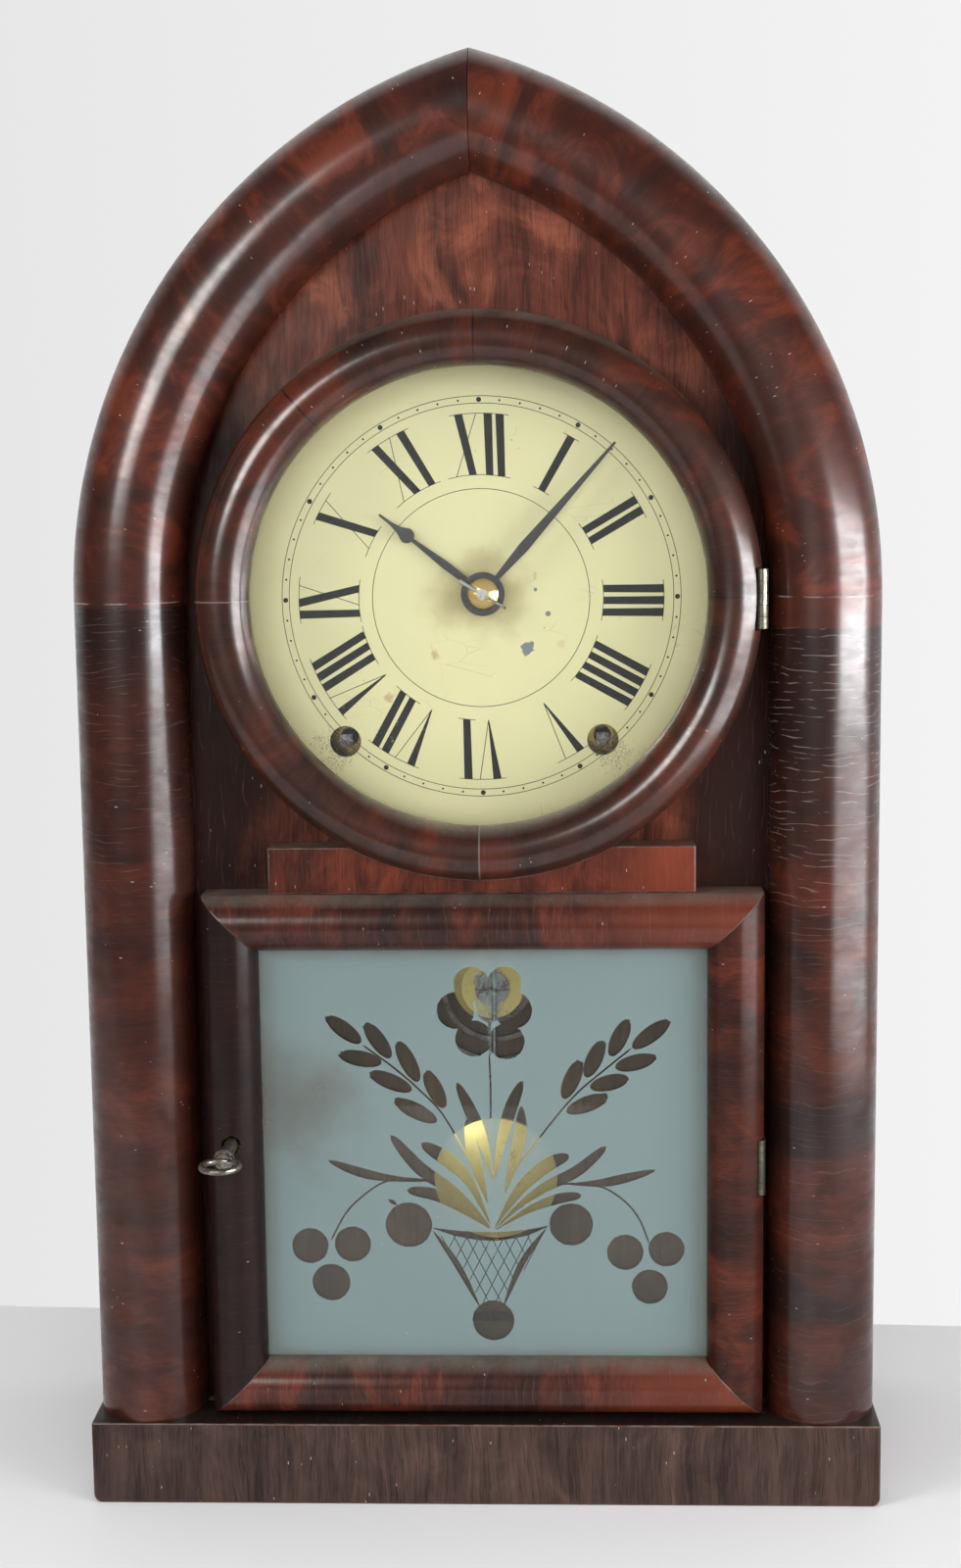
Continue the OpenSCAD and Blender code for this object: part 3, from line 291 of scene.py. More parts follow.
def grain_effect():
    """Streaky veneer. The vector runs across the grain in x and along it in y."""
    def fill(bench, given):
        place = bench.shift(given["Vector"], bench.join(given["Seed"], given["Seed"], 0.0))
        wander = bench.noise(place, (34.0, 14.0, 30.0), 3.0)
        bent = bench.shift(place, bench.join(bench.fit(wander, 0.0, 1.0, -0.005, 0.005), 0.0, 0.0))
        broad = bench.noise(bent, (120.0, 11.0, 40.0), 4.0, 0.6)
        fine = bench.noise(bent, (640.0, 30.0, 300.0), 4.0, 0.65)
        hair = bench.noise(bent, (2600.0, 90.0, 900.0), 2.0, 0.6)
        mottle = bench.noise(place, (42.0, 30.0, 26.0), 6.0, 0.62, 1.1)
        streak = bench.weigh(broad, 0.48, bench.weigh(fine, 0.32, bench.times(hair, 0.2)))
        tone = bench.plus(bench.times(bench.fit(streak, 0.38, 0.62), given["Streaks"]),
                          bench.times(bench.minus(1.0, given["Streaks"]), 0.62))
        body = bench.mix(tone, given["Dark"], given["Middle"])
        patch = bench.fit(mottle, 0.45, 0.68, soft=True)
        lift = bench.times(patch, given["Figure"], bench.fit(tone, 0.0, 1.0, 0.35, 1.0))
        toned = bench.mix(lift, body, given["Bright"])
        cloud = bench.times(bench.fit(mottle, 0.46, 0.30, soft=True),
                            bench.fit(given["Figure"], 0.0, 1.0, 0.2, 0.8))
        toned = bench.mix(cloud, toned, given["Dark"])
        pore = bench.fit(hair, 0.34, 0.42, soft=True)
        toned = bench.stain(toned, given["Dark"], bench.fit(pore, 0.0, 1.0, 0.5, 0.0), given["Streaks"])
        return {"Color": toned, "Height": bench.plus(pore, broad)}
    return shared_effect("Grained veneer",
                         "Vector: vector; Dark, Middle, Bright: colour; Figure, Streaks, Seed: value",
                         "Color: colour; Height: value", fill)


def varnish_effect():
    """Old varnish: dull patches, hair cracks along the grain, dirt specks and dust on faces that look up."""
    def fill(bench, given):
        place = given["Vector"]
        dull = bench.noise(place, 60.0, 6.0, 0.62, 0.4)
        smear = bench.noise(place, (420.0, 120.0, 160.0), 4.0, 0.6)
        gloss = bench.plus(bench.times(dull, 0.6), bench.times(smear, 0.4))
        waver = bench.noise(place, (70.0, 24.0, 24.0), 3.0)
        row = bench.weigh(bench.split(place)[0], 420.0, bench.times(waver, 5.0))
        line = bench.size(bench.minus(bench.maths("FRACT", row), 0.5))
        broken = bench.noise(place, (420.0, 75.0, 120.0), 3.0, 0.6)
        crack = bench.times(bench.fit(line, 0.035, 0.085, 1.0, 0.0), bench.fit(broken, 0.49, 0.56),
                            given["Cracks"])
        where = bench.plus(bench.noise(place, 90.0, 1.0), given["Flecks"])
        speck = bench.times(bench.fit(bench.cells(place, (420.0, 120.0, 230.0)), 0.09, 0.05),
                            bench.fit(where, 0.56, 0.60))
        cloud = bench.noise(place, 90.0, 5.0, 0.65)
        dust = bench.times(bench.fit(bench.split(given["Normal"])[2], 0.6, 0.97),
                           bench.fit(cloud, 0.3, 0.7, 0.35, 1.0), given["Dust"])
        toned = bench.stain(given["Color"], (0.30, 0.24, 0.20), crack, 0.5)
        toned = bench.stain(toned, (0.5, 0.46, 0.42), speck, 0.6)
        toned = bench.mix(dust, toned, (0.23, 0.21, 0.18))
        return {"Color": toned, "Dullness": bench.larger(bench.fit(gloss, 0.36, 0.64), dust),
                "Height": bench.minus(gloss, crack)}
    return shared_effect("Old varnish",
                         "Vector, Normal: vector; Color: colour; Cracks, Flecks, Dust: value",
                         "Color: colour; Dullness, Height: value", fill)


def round_effect():
    """Bends the grain round a centre: x becomes the distance along the rim and y the radius."""
    def fill(bench, given):
        x, y, z = bench.split(given["Vector"])
        across = bench.minus(x, given["Centre across"])
        up = bench.minus(z, given["Centre up"])
        angle = bench.maths("ARCTAN2", across, up)
        along = bench.times(angle, given["Rim radius"])
        return {"Vector": bench.join(along, bench.reach(across, up), y), "Angle": angle}
    return shared_effect("Round a centre",
                         "Vector: vector; Centre across, Centre up, Rim radius: value",
                         "Vector: vector; Angle: value", fill)


def tarnish_effect():
    """Tarnish or rust that gathers in clouds and spots, with fine scratches."""
    def fill(bench, given):
        place = given["Vector"]
        cloud = bench.noise(place, 120.0, 6.0, 0.65, 0.5)
        spots = bench.noise(place, 900.0, 3.0, 0.6)
        mask = bench.fit(bench.weigh(spots, 0.35, bench.times(cloud, 0.8)),
                         bench.minus(0.92, given["Amount"]), bench.minus(1.12, given["Amount"]), soft=True)
        scratch = bench.noise(place, (3000.0, 400.0, 250.0), 2.0)
        return {"Color": bench.mix(mask, given["Clean"], given["Tarnish"]), "Mask": mask,
                "Height": bench.plus(scratch, bench.times(spots, 0.6))}
    return shared_effect("Tarnish", "Vector: vector; Clean, Tarnish: colour; Amount: value",
                         "Color: colour; Mask, Height: value", fill)


def spot_effect():
    """A spot about a centre, full inside one radius and gone outside the other, with a wobbly edge."""
    def fill(bench, given):
        x, _, z = bench.split(given["Vector"])
        wobble = bench.fit(bench.noise(given["Vector"], given["Wobble scale"], 3.0), 0.0, 1.0, -1.0, 1.0)
        reach = bench.reach(bench.minus(x, given["Across"]), bench.minus(z, given["Up"]))
        reach = bench.plus(reach, bench.times(wobble, given["Wobble"]))
        return {"Mask": bench.fit(reach, given["Inner"], given["Outer"], 1.0, 0.0, soft=True)}
    return shared_effect("Spot",
                         "Vector: vector; Across, Up, Inner, Outer, Wobble, Wobble scale: value",
                         "Mask: value", fill)


def spot(bench, place, centre, inner, outer, wobble, wobble_scale):
    return bench.effect(spot_effect(), {
        "Vector": place, "Across": centre[0], "Up": centre[1], "Inner": inner, "Outer": outer,
        "Wobble": wobble, "Wobble scale": wobble_scale})["Mask"]


def new_material(name, build):
    """The material of that name, built by build(bench), which returns its shader."""
    made = bpy.data.materials.get(name)
    if made:
        return made
    made = bpy.data.materials.new(name)
    made.use_nodes = True
    made.node_tree.nodes.clear()
    bench = Bench(made.node_tree)
    bench.add("ShaderNodeOutputMaterial", {"Surface": build(bench)})
    return made


def finish(name):
    """Turns build(bench) into a function that gives the material of that name."""
    def wrap(build):
        def give():
            return new_material(name, build)
        return give
    return wrap


# Wood

def veneered(name, directed, tones, figure, seed, cracks=0.1, coat=1.0, rough=(0.4, 0.6), streaks=0.8,
             flecks=0.02):
    """Varnished veneer. directed(bench, place) gives the vector across and along the grain. It may give
    masks too: Line, Shade, Redden and Seam over the wood, and Cracks, Dust and Shine for the varnish."""
    def build(bench):
        turned = directed(bench, bench.place())
        grain = bench.effect(grain_effect(), {
            "Vector": turned["Vector"], "Dark": tones[0], "Middle": tones[1], "Bright": tones[2],
            "Figure": figure, "Streaks": streaks, "Seed": seed})
        toned = grain["Color"]
        if "Line" in turned:
            toned = bench.mix(turned["Line"], toned, turned["Line tone"])
        if "Shade" in turned:
            toned = bench.mix(turned["Shade"], toned, tones[0])
        if "Redden" in turned:
            toned = bench.mix(turned["Redden"], toned, tones[2])
        old = bench.effect(varnish_effect(), {
            "Vector": turned["Vector"], "Color": toned, "Normal": bench.normal(),
            "Cracks": turned.get("Cracks", cracks), "Dust": turned.get("Dust", settings("wood").dust),
            "Flecks": flecks})
        toned = old["Color"]
        if "Seam" in turned:
            toned = bench.stain(toned, (0.30, 0.27, 0.25), turned["Seam"], 0.8)
        varnish = bench.fit(old["Dullness"], 0.0, 1.0, coat, coat * 0.45)
        return bench.surface({
            "Base Color": toned, "Roughness": bench.fit(old["Dullness"], 0.0, 1.0, *rough),
            "Coat Weight": bench.times(varnish, turned.get("Shine", 1.0)), "Coat Roughness": 0.2,
            "Coat IOR": 1.45, "Specular IOR Level": 0.1,
            "Normal": bench.bump(bench.weigh(grain["Height"], 0.5, old["Height"]), 0.11, 0.0004)})
    return new_material(name, build)


def axes_grain(order):
    """Grain direction: the axes that become across, along and depth."""
    def directed(bench, place):
        axes = dict(zip("xyz", bench.split(place)))
        return {"Vector": bench.join(*[axes[letter] for letter in order])}
    return directed


def column_grain(bench, place):
    """Grain that lies across the columns, with the darker veneer and the crazing below the springing."""
    x, y, z = bench.split(place)
    right = bench.fit(x, -0.01, 0.01)

    def by_side(on_left, on_right):
        return bench.fit(right, 0.0, 1.0, on_left, on_right)

    below = bench.minus(SPRINGING_Z, z)
    start = bench.fit(bench.minus(below, by_side(0.0015, 0.0100)), 0.0, 0.0004)
    gap = bench.noise(place, 110.0, 3.0)
    seam = bench.times(bench.fit(below, 0.0002, 0.0006, 1.0, 0.0), bench.fit(gap, 0.4, 0.55))
    bands = bench.noise(bench.join(bench.times(z, 26.0), bench.times(x, 7.0), right), 1.0, 4.0, 0.6, 0.6)
    dark_bands = bench.times(bench.fit(bands, 0.5, 0.62, soft=True), by_side(0.3, 0.85))
    upper = bench.times(start, bench.fit(below, by_side(0.012, 0.05), by_side(0.04, 0.1), 0.8, 0.0))
    crazed = bench.times(start, bench.fit(below, 0.06, 0.13, 1.0, 0.15, soft=True), by_side(0.25, 1.0))
    redden = bench.times(bench.minus(1.0, start), 0.22, right)
    return {"Vector": bench.join(z, x, y), "Shade": bench.larger(dark_bands, upper),
            "Redden": redden, "Cracks": crazed, "Seam": seam}


def header_grain(bench, place):
    """Level grain, redder to the right, where the light fell."""
    x, y, z = bench.split(place)
    cloud = bench.noise(place, (40.0, 40.0, 60.0), 4.0, 0.6)
    red = bench.plus(x, bench.fit(cloud, 0.0, 1.0, -0.02, 0.02))
    return {"Vector": bench.join(x, z, y), "Redden": bench.fit(red, 0.025, 0.07, 0.0, 0.55, soft=True)}


def stile_grain(bench, place):
    """Grain that lies across the stiles, the left one darker."""
    x, y, z = bench.split(place)
    return {"Vector": bench.join(z, x, y), "Shade": bench.fit(x, 0.01, -0.01, 0.2, 0.9)}


def base_grain(bench, place):
    """Level grain, nearly black on the rounded top and darker to the left."""
    x, y, z = bench.split(place)
    up = bench.fit(bench.split(bench.normal())[2], 0.35, 0.75, 0.0, 0.95)
    left = bench.fit(x, -0.06, -0.13, 0.0, 0.4)
    return {"Vector": bench.join(x, z, y), "Shade": bench.larger(up, left), "Dust": 0.04}


def panel_grain(bench, place):
    """Upright grain, with painted shade in the corners beside the ring and the door, where the coat is taken
    away too.
    """
    x, y, z = bench.split(place)
    cloud = bench.noise(place, (60.0, 60.0, 25.0), 4.0, 0.6)
    aside = bench.plus(bench.size(x), bench.fit(cloud, 0.0, 1.0, -0.022, 0.022))
    # Painted shade: the panel beside the ring and the door is darkened toward black and loses its coat.
    grime_and_shade = bench.times(bench.fit(aside, 0.05, 0.080, soft=True), bench.fit(z, 0.405, 0.36))
    return {"Vector": bench.join(x, z, y), "Shade": bench.times(grime_and_shade, 0.98),
            "Shine": bench.minus(1.0, grime_and_shade)}


def ring_grain(bench, place):
    """Grain round the ring, with a joint at each quarter and one at the upper left."""
    out = bench.effect(round_effect(), {
        "Vector": place, "Centre across": RING_X, "Centre up": RING_Z,
        "Rim radius": RING_GRAIN_RADIUS})
    quarter = bench.maths("DIVIDE", out["Angle"], math.radians(90))
    extra = bench.larger(bench.size(bench.plus(quarter, 0.47)), 0.0005)
    seam = bench.maths("MINIMUM", bench.maths("PINGPONG", quarter, 0.5), extra)
    dusty = bench.larger(bench.fit(quarter, -0.7, -0.72), bench.fit(bench.size(quarter), 1.5, 1.52))
    return {"Vector": out["Vector"], "Line": bench.fit(seam, 0.001, 0.0028, 0.9, 0.0),
            "Line tone": bench.mix(dusty, (0.004, 0.003, 0.003), (0.14, 0.12, 0.11))}


def arch_grain(bench, place):
    """Grain round each arch's own centre."""
    side = bench.maths("SIGN", bench.split(place)[0])
    out = bench.effect(round_effect(), {
        "Vector": place, "Centre across": bench.times(side, -ARCH_CENTRE_X),
        "Centre up": SPRINGING_Z, "Rim radius": ARCH_RADIUS})
    return {"Vector": out["Vector"]}


@finish("Rubbed corners")
def rubbed_corners(bench):
    wood = settings("wood")
    rub = bench.noise(bench.place(), 180.0, 5.0, 0.7)
    return bench.surface({
        "Base Color": bench.mix(bench.fit(rub, 0.40, 0.62), wood.middle, wood.worn_edge),
        "Roughness": bench.fit(rub, 0.3, 0.7, 0.35, 0.6), "Normal": bench.bump(rub, 0.2, 0.0003)})


@finish("Old pine")
def raw_pine(bench):
    pine = settings("wood").pine
    grain = bench.effect(grain_effect(), {
        "Vector": axes_grain("xzy")(bench, bench.place())["Vector"], "Dark": scaled(pine, 0.35),
        "Middle": pine, "Bright": scaled(pine, 1.35), "Figure": 0.5, "Streaks": 1.0, "Seed": 0.7})
    # Darker in patches: partly old dirt, partly painted shade for the dim inside of the case.
    grime_and_shade = bench.noise(bench.place(), 14.0, 5.0, 0.6)
    toned = bench.mix(bench.fit(grime_and_shade, 0.4, 0.75, 0.45, 0.85), grain["Color"], (0.05, 0.033, 0.02))
    return bench.surface({
        "Base Color": toned, "Roughness": bench.fit(grime_and_shade, 0.0, 1.0, 0.65, 0.85),
        "Normal": bench.bump(grain["Height"], 0.35, 0.0005)})


def wood_materials():
    wood = settings("wood")
    tones = (wood.dark, wood.middle, wood.bright)
    arch = (scaled(wood.dark, 2.2), wood.middle, wood.bright)
    column = (scaled(wood.dark, 1.3), wood.middle, wood.bright)
    ring = (scaled(wood.dark, 1.5), [tone * by for tone, by in zip(wood.middle, (0.8, 1.1, 1.2))],
            scaled(wood.bright, 0.6))
    # The panel's darkest tone is also its painted shade beside the ring and the door.
    panel = (scaled(wood.panel, 0.06), scaled(wood.panel, 0.85), wood.panel_bright)
    warm = (wood.dark, scaled(wood.middle, 1.9), scaled(wood.bright, 1.35))
    base = (wood.dark, wood.base, scaled(wood.base, 1.9))
    return {
        "columns": veneered("Column veneer", column_grain, column, 0.4, 0.0, streaks=0.55),
        "arches": veneered("Arch veneer", arch_grain, arch, 0.85, 1.3, 0.05, streaks=0.35),
        "ring": veneered("Ring veneer", ring_grain, ring, 0.9, 2.1, 0.05, streaks=0.45),
        "panel": veneered("Panel veneer", panel_grain, panel, 0.75, 3.7, 0.12, coat=0.35),
        "header": veneered("Header veneer", header_grain, warm, 0.8, 4.2, 0.1, coat=0.5),
        "rails": veneered("Rail veneer", header_grain, tones, 0.7, 5.5, 0.15, coat=0.8),
        "stiles": veneered("Stile veneer", stile_grain, tones, 0.7, 6.1, 0.06, coat=0.35),
        "base": veneered("Base veneer", base_grain, base, 0.35, 7.9, 0.1, 0.35, (0.35, 0.6), flecks=0.05),
        "sides": veneered("Side veneer", axes_grain("yzx"), tones, 0.5, 8.4, 0.2),
        "edge": rubbed_corners(),
        "pine": raw_pine(),
    }


# Metals, glass and paint

def metal(name, clean, tarnish, amount, rough, body=(1.0, 0.75)):
    """Metal whose two values of roughness and of metal body stand for clean and for tarnished."""
    def build(bench):
        out = bench.effect(tarnish_effect(), {
            "Vector": bench.place(), "Clean": clean, "Tarnish": tarnish, "Amount": amount})
        return bench.surface({
            "Base Color": out["Color"], "Metallic": bench.fit(out["Mask"], 0.0, 1.0, *body),
            "Roughness": bench.fit(out["Mask"], 0.0, 1.0, *rough),
            "Normal": bench.bump(out["Height"], 0.12, 0.0001)})
    return new_material(name, build)


def metal_materials():
    tones = settings("metal")
    return {
        "brass": metal("Movement brass", tones.brass, tones.brass_tarnish, 0.35, (0.25, 0.5)),
        "bright brass": metal("Bright brass", tones.brass, tones.brass_tarnish, 0.22, (0.18, 0.42)),
        "bob": metal("Bob brass", (0.88, 0.70, 0.24), (0.50, 0.38, 0.13), 0.3, (0.35, 0.5), (0.3, 0.3)),
        "hinge": metal("Hinge brass", (0.15, 0.14, 0.105), (0.06, 0.055, 0.04), 0.5, (0.28, 0.45)),
        # Painted shade: the winding arbors are darker than the other steel, standing for the shade inside
        # the winding holes.
        "arbor": metal("Dark arbor", (0.20, 0.19, 0.19), (0.015, 0.012, 0.01), 0.5, (0.3, 0.6)),
        "steel": metal("Old steel", tones.steel, tones.rust, 0.38, (0.3, 0.6)),
        "key": metal("Key steel", (0.30, 0.285, 0.26), (0.10, 0.075, 0.05), 0.45, (0.22, 0.46)),
        "spring": metal("Gong wire", (0.18, 0.15, 0.15), (0.06, 0.04, 0.035), 0.4, (0.3, 0.5)),
        "hands": black_hands(),
    }


@finish("Blackened hands")
def black_hands(bench):
    wear = bench.noise(bench.place(), 700.0, 4.0, 0.6)
    black = settings("metal").black_hand
    toned = bench.mix(bench.fit(wear, 0.55, 0.75, 0.0, 0.5), black, (0.09, 0.07, 0.055))
    return bench.surface({
        "Base Color": toned, "Metallic": 0.3, "Roughness": bench.fit(wear, 0.3, 0.7, 0.28, 0.5),
        "Normal": bench.bump(wear, 0.1, 0.0001)})


HANDS_CENTRE = (0.0022, 0.3082)
DRIP_CENTRE = (-0.0095, 0.3035)
# Each: place across and up, then the strength or the size
RUST_SPOTS = ((-0.0303, 0.2733, 0.6), (-0.0143, 0.2878, 0.5), (0.028, 0.291, 0.2))
SCUFFS = ((-0.0475, 0.2525, 0.006), (0.0455, 0.2535, 0.0075), (-0.052, 0.2585, 0.005))
CHIPS = ((0.0168, 0.2897, 0.0023), (0.0238, 0.3012, 0.0009), (0.0196, 0.3092, 0.0006))


@finish("Dial paint")
def dial_paint(bench):
    tones = settings("dial")
    place = bench.place()
    broad = bench.noise(place, 26.0, 5.0, 0.6, 0.5)
    # Darker, greener paint toward the rim: partly dirt, partly painted shade cast by the ring.
    rim = spot(bench, place, (tones.artwork_x, tones.artwork_z), 0.069, 0.100, 0.006, 40.0)
    toned = bench.mix(rim, tones.rim, tones.paint)
    toned = bench.mix(bench.fit(broad, 0.35, 0.7, 0.0, 0.35), toned, scaled(tones.paint, 0.86))
    halo = spot(bench, place, HANDS_CENTRE, 0.006, 0.019, 0.008, 120.0)
    toned = bench.stain(toned, tones.stain, halo, 0.55)
    drip = spot(bench, place, DRIP_CENTRE, 0.002, 0.0125, 0.007, 130.0)
    toned = bench.stain(toned, tones.stain, drip, 0.35)
    for across, up, strength in RUST_SPOTS:
        rust = spot(bench, place, (across, up), 0.0004, 0.0022, 0.0016, 600.0)
        toned = bench.stain(toned, (0.42, 0.19, 0.06), rust, strength)
    grit = bench.fit(bench.noise(place, 1600.0, 4.0, 0.7), 0.48, 0.66)
    for across, up, wide in SCUFFS:
        scuff = spot(bench, place, (across, up), wide * 0.4, wide, 0.006, 500.0)
        toned = bench.stain(toned, (0.10, 0.075, 0.03), bench.times(scuff, grit), 0.85)
    chips = 0.0
    for across, up, wide in CHIPS:
        chips = bench.larger(chips, spot(bench, place, (across, up), wide * 0.9, wide, wide * 0.9, 420.0))
    toned = bench.mix(chips, toned, (0.19, 0.20, 0.21))
    craze = bench.cells(place, (70.0, 70.0, 190.0), "DISTANCE_TO_EDGE")
    hair = bench.times(bench.fit(craze, 0.004, 0.010, 1.0, 0.0),
                       bench.fit(bench.noise(place, 55.0, 2.0), 0.6, 0.66))
    toned = bench.stain(toned, tones.stain, hair, 0.35)
    speck = bench.times(bench.fit(bench.cells(place, 140.0), 0.05, 0.025),
                        bench.fit(bench.noise(place, 70.0, 1.0), 0.52, 0.58))
    toned = bench.stain(toned, (0.16, 0.11, 0.05), speck, 0.6)
    bare_edge = bench.fit(bench.split(bench.normal())[1], -0.5, -0.3)
    toned = bench.mix(bare_edge, toned, (0.17, 0.175, 0.18))
    return bench.surface({
        "Base Color": toned, "Roughness": bench.fit(broad, 0.3, 0.7, 0.32, 0.5),
        "Specular IOR Level": 0.35,
        "Normal": bench.bump(bench.minus(bench.times(broad, 0.4), chips), 0.25, 0.0003)})


@finish("Dial ink")
def dial_ink(bench):
    tones = settings("dial")
    place = bench.place()
    scrape = bench.noise(place, 420.0, 6.0, 0.75)
    fleck = bench.times(bench.fit(scrape, 0.6, 0.66), bench.fit(bench.noise(place, 30.0, 2.0), 0.5, 0.62))
    low = bench.fit(bench.split(place)[2], 0.262, 0.29, 1.0, 0.25)
    return bench.surface({
        "Base Color": bench.stain(tones.ink, tones.paint, fleck, low),
        "Roughness": bench.fit(scrape, 0.3, 0.7, 0.4, 0.55), "Specular IOR Level": 0.15})


@finish("Old glass")
def old_glass(bench):
    """Old window glass, slightly wavy and smudged."""
    place = bench.place()
    smudge = bench.noise(place, (45.0, 45.0, 60.0), 5.0, 0.7)
    shader = bench.surface({
        "Base Color": (0.95, 0.97, 0.95), "Roughness": bench.fit(smudge, 0.45, 0.75, 0.01, 0.06),
        "IOR": 1.45, "Transmission Weight": 1.0,
        "Normal": bench.bump(bench.noise(place, (30.0, 30.0, 12.0), 2.0), 0.04, 0.001)})
    return bench.clear_for(("Is Shadow Ray", "Is Diffuse Ray"), shader, (0.96, 0.97, 0.96))


@finish("Frosted ground")
def frosted(bench):
    frost = settings("tablet").frost
    place = bench.place()
    cloud = bench.noise(place, 24.0, 5.0, 0.65, 0.4)
    grit = bench.noise(place, 2500.0, 2.0)
    x, _, z = bench.split(place)
    toned = bench.mix(bench.fit(cloud, 0.3, 0.7, 0.0, 0.4), frost, scaled(frost, 0.8))
    # Darker and browner along the edges and toward the upper left corner.
    aside = bench.fit(bench.size(bench.minus(x, 0.001)), 0.069, 0.0755)
    upright = bench.fit(bench.size(bench.minus(z, TABLET_Z)), 0.067, 0.0715)
    rim = bench.times(bench.larger(aside, upright), bench.fit(cloud, 0.3, 0.65, 0.3, 1.0))
    toned = bench.stain(toned, (0.16, 0.13, 0.07), rim, 0.55)
    dark_corner = spot(bench, place, (-0.062, 0.137), 0.0, 0.03, 0.014, 60.0)
    toned = bench.stain(toned, (0.11, 0.085, 0.06), dark_corner, 0.6)
    fleck = bench.times(bench.fit(bench.cells(place, 120.0), 0.045, 0.03),
                        bench.fit(bench.noise(place, 60.0, 1.0), 0.53, 0.57))
    toned = bench.stain(toned, (0.6, 0.62, 0.6), fleck, 0.5)
    shader = bench.surface({
        "Base Color": toned, "Roughness": bench.fit(grit, 0.3, 0.7, 0.5, 0.65),
        "Specular IOR Level": 0.3, "Alpha": bench.fit(cloud, 0.3, 0.7, 0.60, 0.66),
        "Normal": bench.bump(grit, 0.12, 0.0001)})
    return bench.clear_for(("Is Shadow Ray",), shader, (0.72, 0.76, 0.73))


@finish("Thin frost")
def thin_frost(bench):
    """Half-worn frost on the small islands of the flower."""
    frost = settings("tablet").frost
    wear = bench.noise(bench.place(), (500.0, 500.0, 350.0), 5.0, 0.7)
    return bench.surface({
        "Base Color": bench.mix(bench.fit(wear, 0.35, 0.65), scaled(frost, 0.35), frost),
        "Roughness": bench.fit(wear, 0.3, 0.7, 0.3, 0.5),
        "Alpha": bench.fit(wear, 0.35, 0.68, 0.04, 0.42)})


@finish("Cut ornament")
def cut_ornament(bench):
    """Clear glass with old dirt, which thins out toward the top."""
    cut = settings("tablet").cut
    place = bench.place()
    grime_and_shade = bench.noise(place, 160.0, 5.0, 0.65)
    return bench.surface({
        "Base Color": bench.mix(bench.fit(grime_and_shade, 0.35, 0.7), cut, scaled(cut, 1.6)),
        "Roughness": bench.fit(grime_and_shade, 0.0, 1.0, 0.4, 0.6),
        "Alpha": bench.times(bench.fit(bench.split(place)[2], 0.09, 0.16, 1.0, 0.05),
                             bench.fit(grime_and_shade, 0.3, 0.7, 0.06, 0.18))})


# Meshes

WELD = 0.000002
PANEL_EDGE_WIDTH = 0.0003
FLAT_ANGLE = math.radians(1)
CORNER_ANGLE = math.radians(35)
SHARP_ANGLE = math.radians(40)


def new_object(name, data):
    made = bpy.data.objects.new(name, data)
    bpy.context.scene.collection.objects.link(made)
    return made


def mesh_object(name, points, faces, skins, body):
    data = bpy.data.meshes.new(name)
    data.from_pydata(points, [], faces)
    data.validate()
    for skin in skins:
        data.materials.append(skin)
    made = new_object(name, data)
    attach(made, body)
    return made


def softened(node, name, body, skins, width=None):
    """A copy of a wooden CAD part with rubbed corners, which stands for it."""
    shape = bmesh.new()
    shape.from_mesh(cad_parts[node].data)
    bmesh.ops.remove_doubles(shape, verts=shape.verts, dist=WELD)
    bmesh.ops.dissolve_limit(shape, angle_limit=FLAT_ANGLE, verts=shape.verts, edges=shape.edges)
    for face in shape.faces:
        face.material_index = 0
    corners = [edge for edge in shape.edges
               if edge.is_manifold and edge.calc_face_angle(0.0) > CORNER_ANGLE]
    bmesh.ops.bevel(shape, geom=corners, offset=width or settings("wood").edge_width,
                    offset_type="OFFSET", segments=2, profile=0.6, affect="EDGES",
                    clamp_overlap=True, material=1)
    for face in shape.faces:
        face.smooth = True
    data = bpy.data.meshes.new(name)
    shape.to_mesh(data)
    shape.free()
    for skin in skins:
        data.materials.append(skin)
    data.set_sharp_from_angle(angle=SHARP_ANGLE)
    made = new_object(name, data)
    made.modifiers.new("Even shading", "WEIGHTED_NORMAL").keep_sharp = True
    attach(made, body)
    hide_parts(node)
    return made


def dress(names, skin):
    """Gives CAD parts a material of their own."""
    for name in names:
        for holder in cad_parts[name].material_slots:
            holder.material = skin


def drop_loose(shape):
    bmesh.ops.delete(shape, geom=[vert for vert in shape.verts if not vert.link_faces], context="VERTS")


def thicken(shape, faces, by):
    """Gives flat faces a thickness."""
    raised = bmesh.ops.extrude_face_region(shape, geom=faces)["geom"]
    verts = [part for part in raised if isinstance(part, bmesh.types.BMVert)]
    bmesh.ops.translate(shape, verts=verts, vec=by)
    drop_loose(shape)
    bmesh.ops.recalc_face_normals(shape, faces=shape.faces)


# The dial's print

# Radii and sizes in metres, and how finely they are drawn
PRINT_LIFT = 0.00004
CIRCLES = (0.067, 0.0646, 0.0365)
DOTS_RADIUS = 0.0658
DOT_SIDES = 14
CIRCLE_STEPS = 240
LINE_STEPS = 16
HOUR_DOT = 0.00085
MINUTE_DOT = 0.00036
POINTED = 0.12
# Each letter: its advance, then for each stroke the outer place, inner place, outer width, inner width.
# Advances and places are in millimetres, and widths are shares of the thick stroke.
LETTERS = {
    "I": (0.0, [(0.0, 0.0, 1.0, 0.88)]),
    "V": (5.9, [(0.0, 2.5, 1.0, POINTED), (5.9, 2.5, 0.09, 0.09)]),
    "X": (5.9, [(0.0, 4.3, 1.0, 0.9), (5.9, -1.2, 0.09, 0.09)]),
}
LETTER_GAP = 3.95
INNER_SQUEEZE = 0.93
LINE_OVERHANG = 3.0
THREE_LEAN = 0.02
HOURS = ["XII", "I", "II", "III", "IIII", "V", "VI", "VII", "VIII", "IX", "X", "XI"]


def band(centre, inner, outer, start, stop, steps):
    """Points and faces of a flat ring or arc on the dial, angles clockwise from twelve."""
    points = []
    for step in range(steps + 1):
        angle = start + (stop - start) * step / steps
        for radius in (inner, outer):
            points.append((centre[0] + radius * math.sin(angle), centre[1],
                           centre[2] + radius * math.cos(angle)))
    return points, [(k, k + 1, k + 3, k + 2) for k in range(0, steps * 2, 2)]


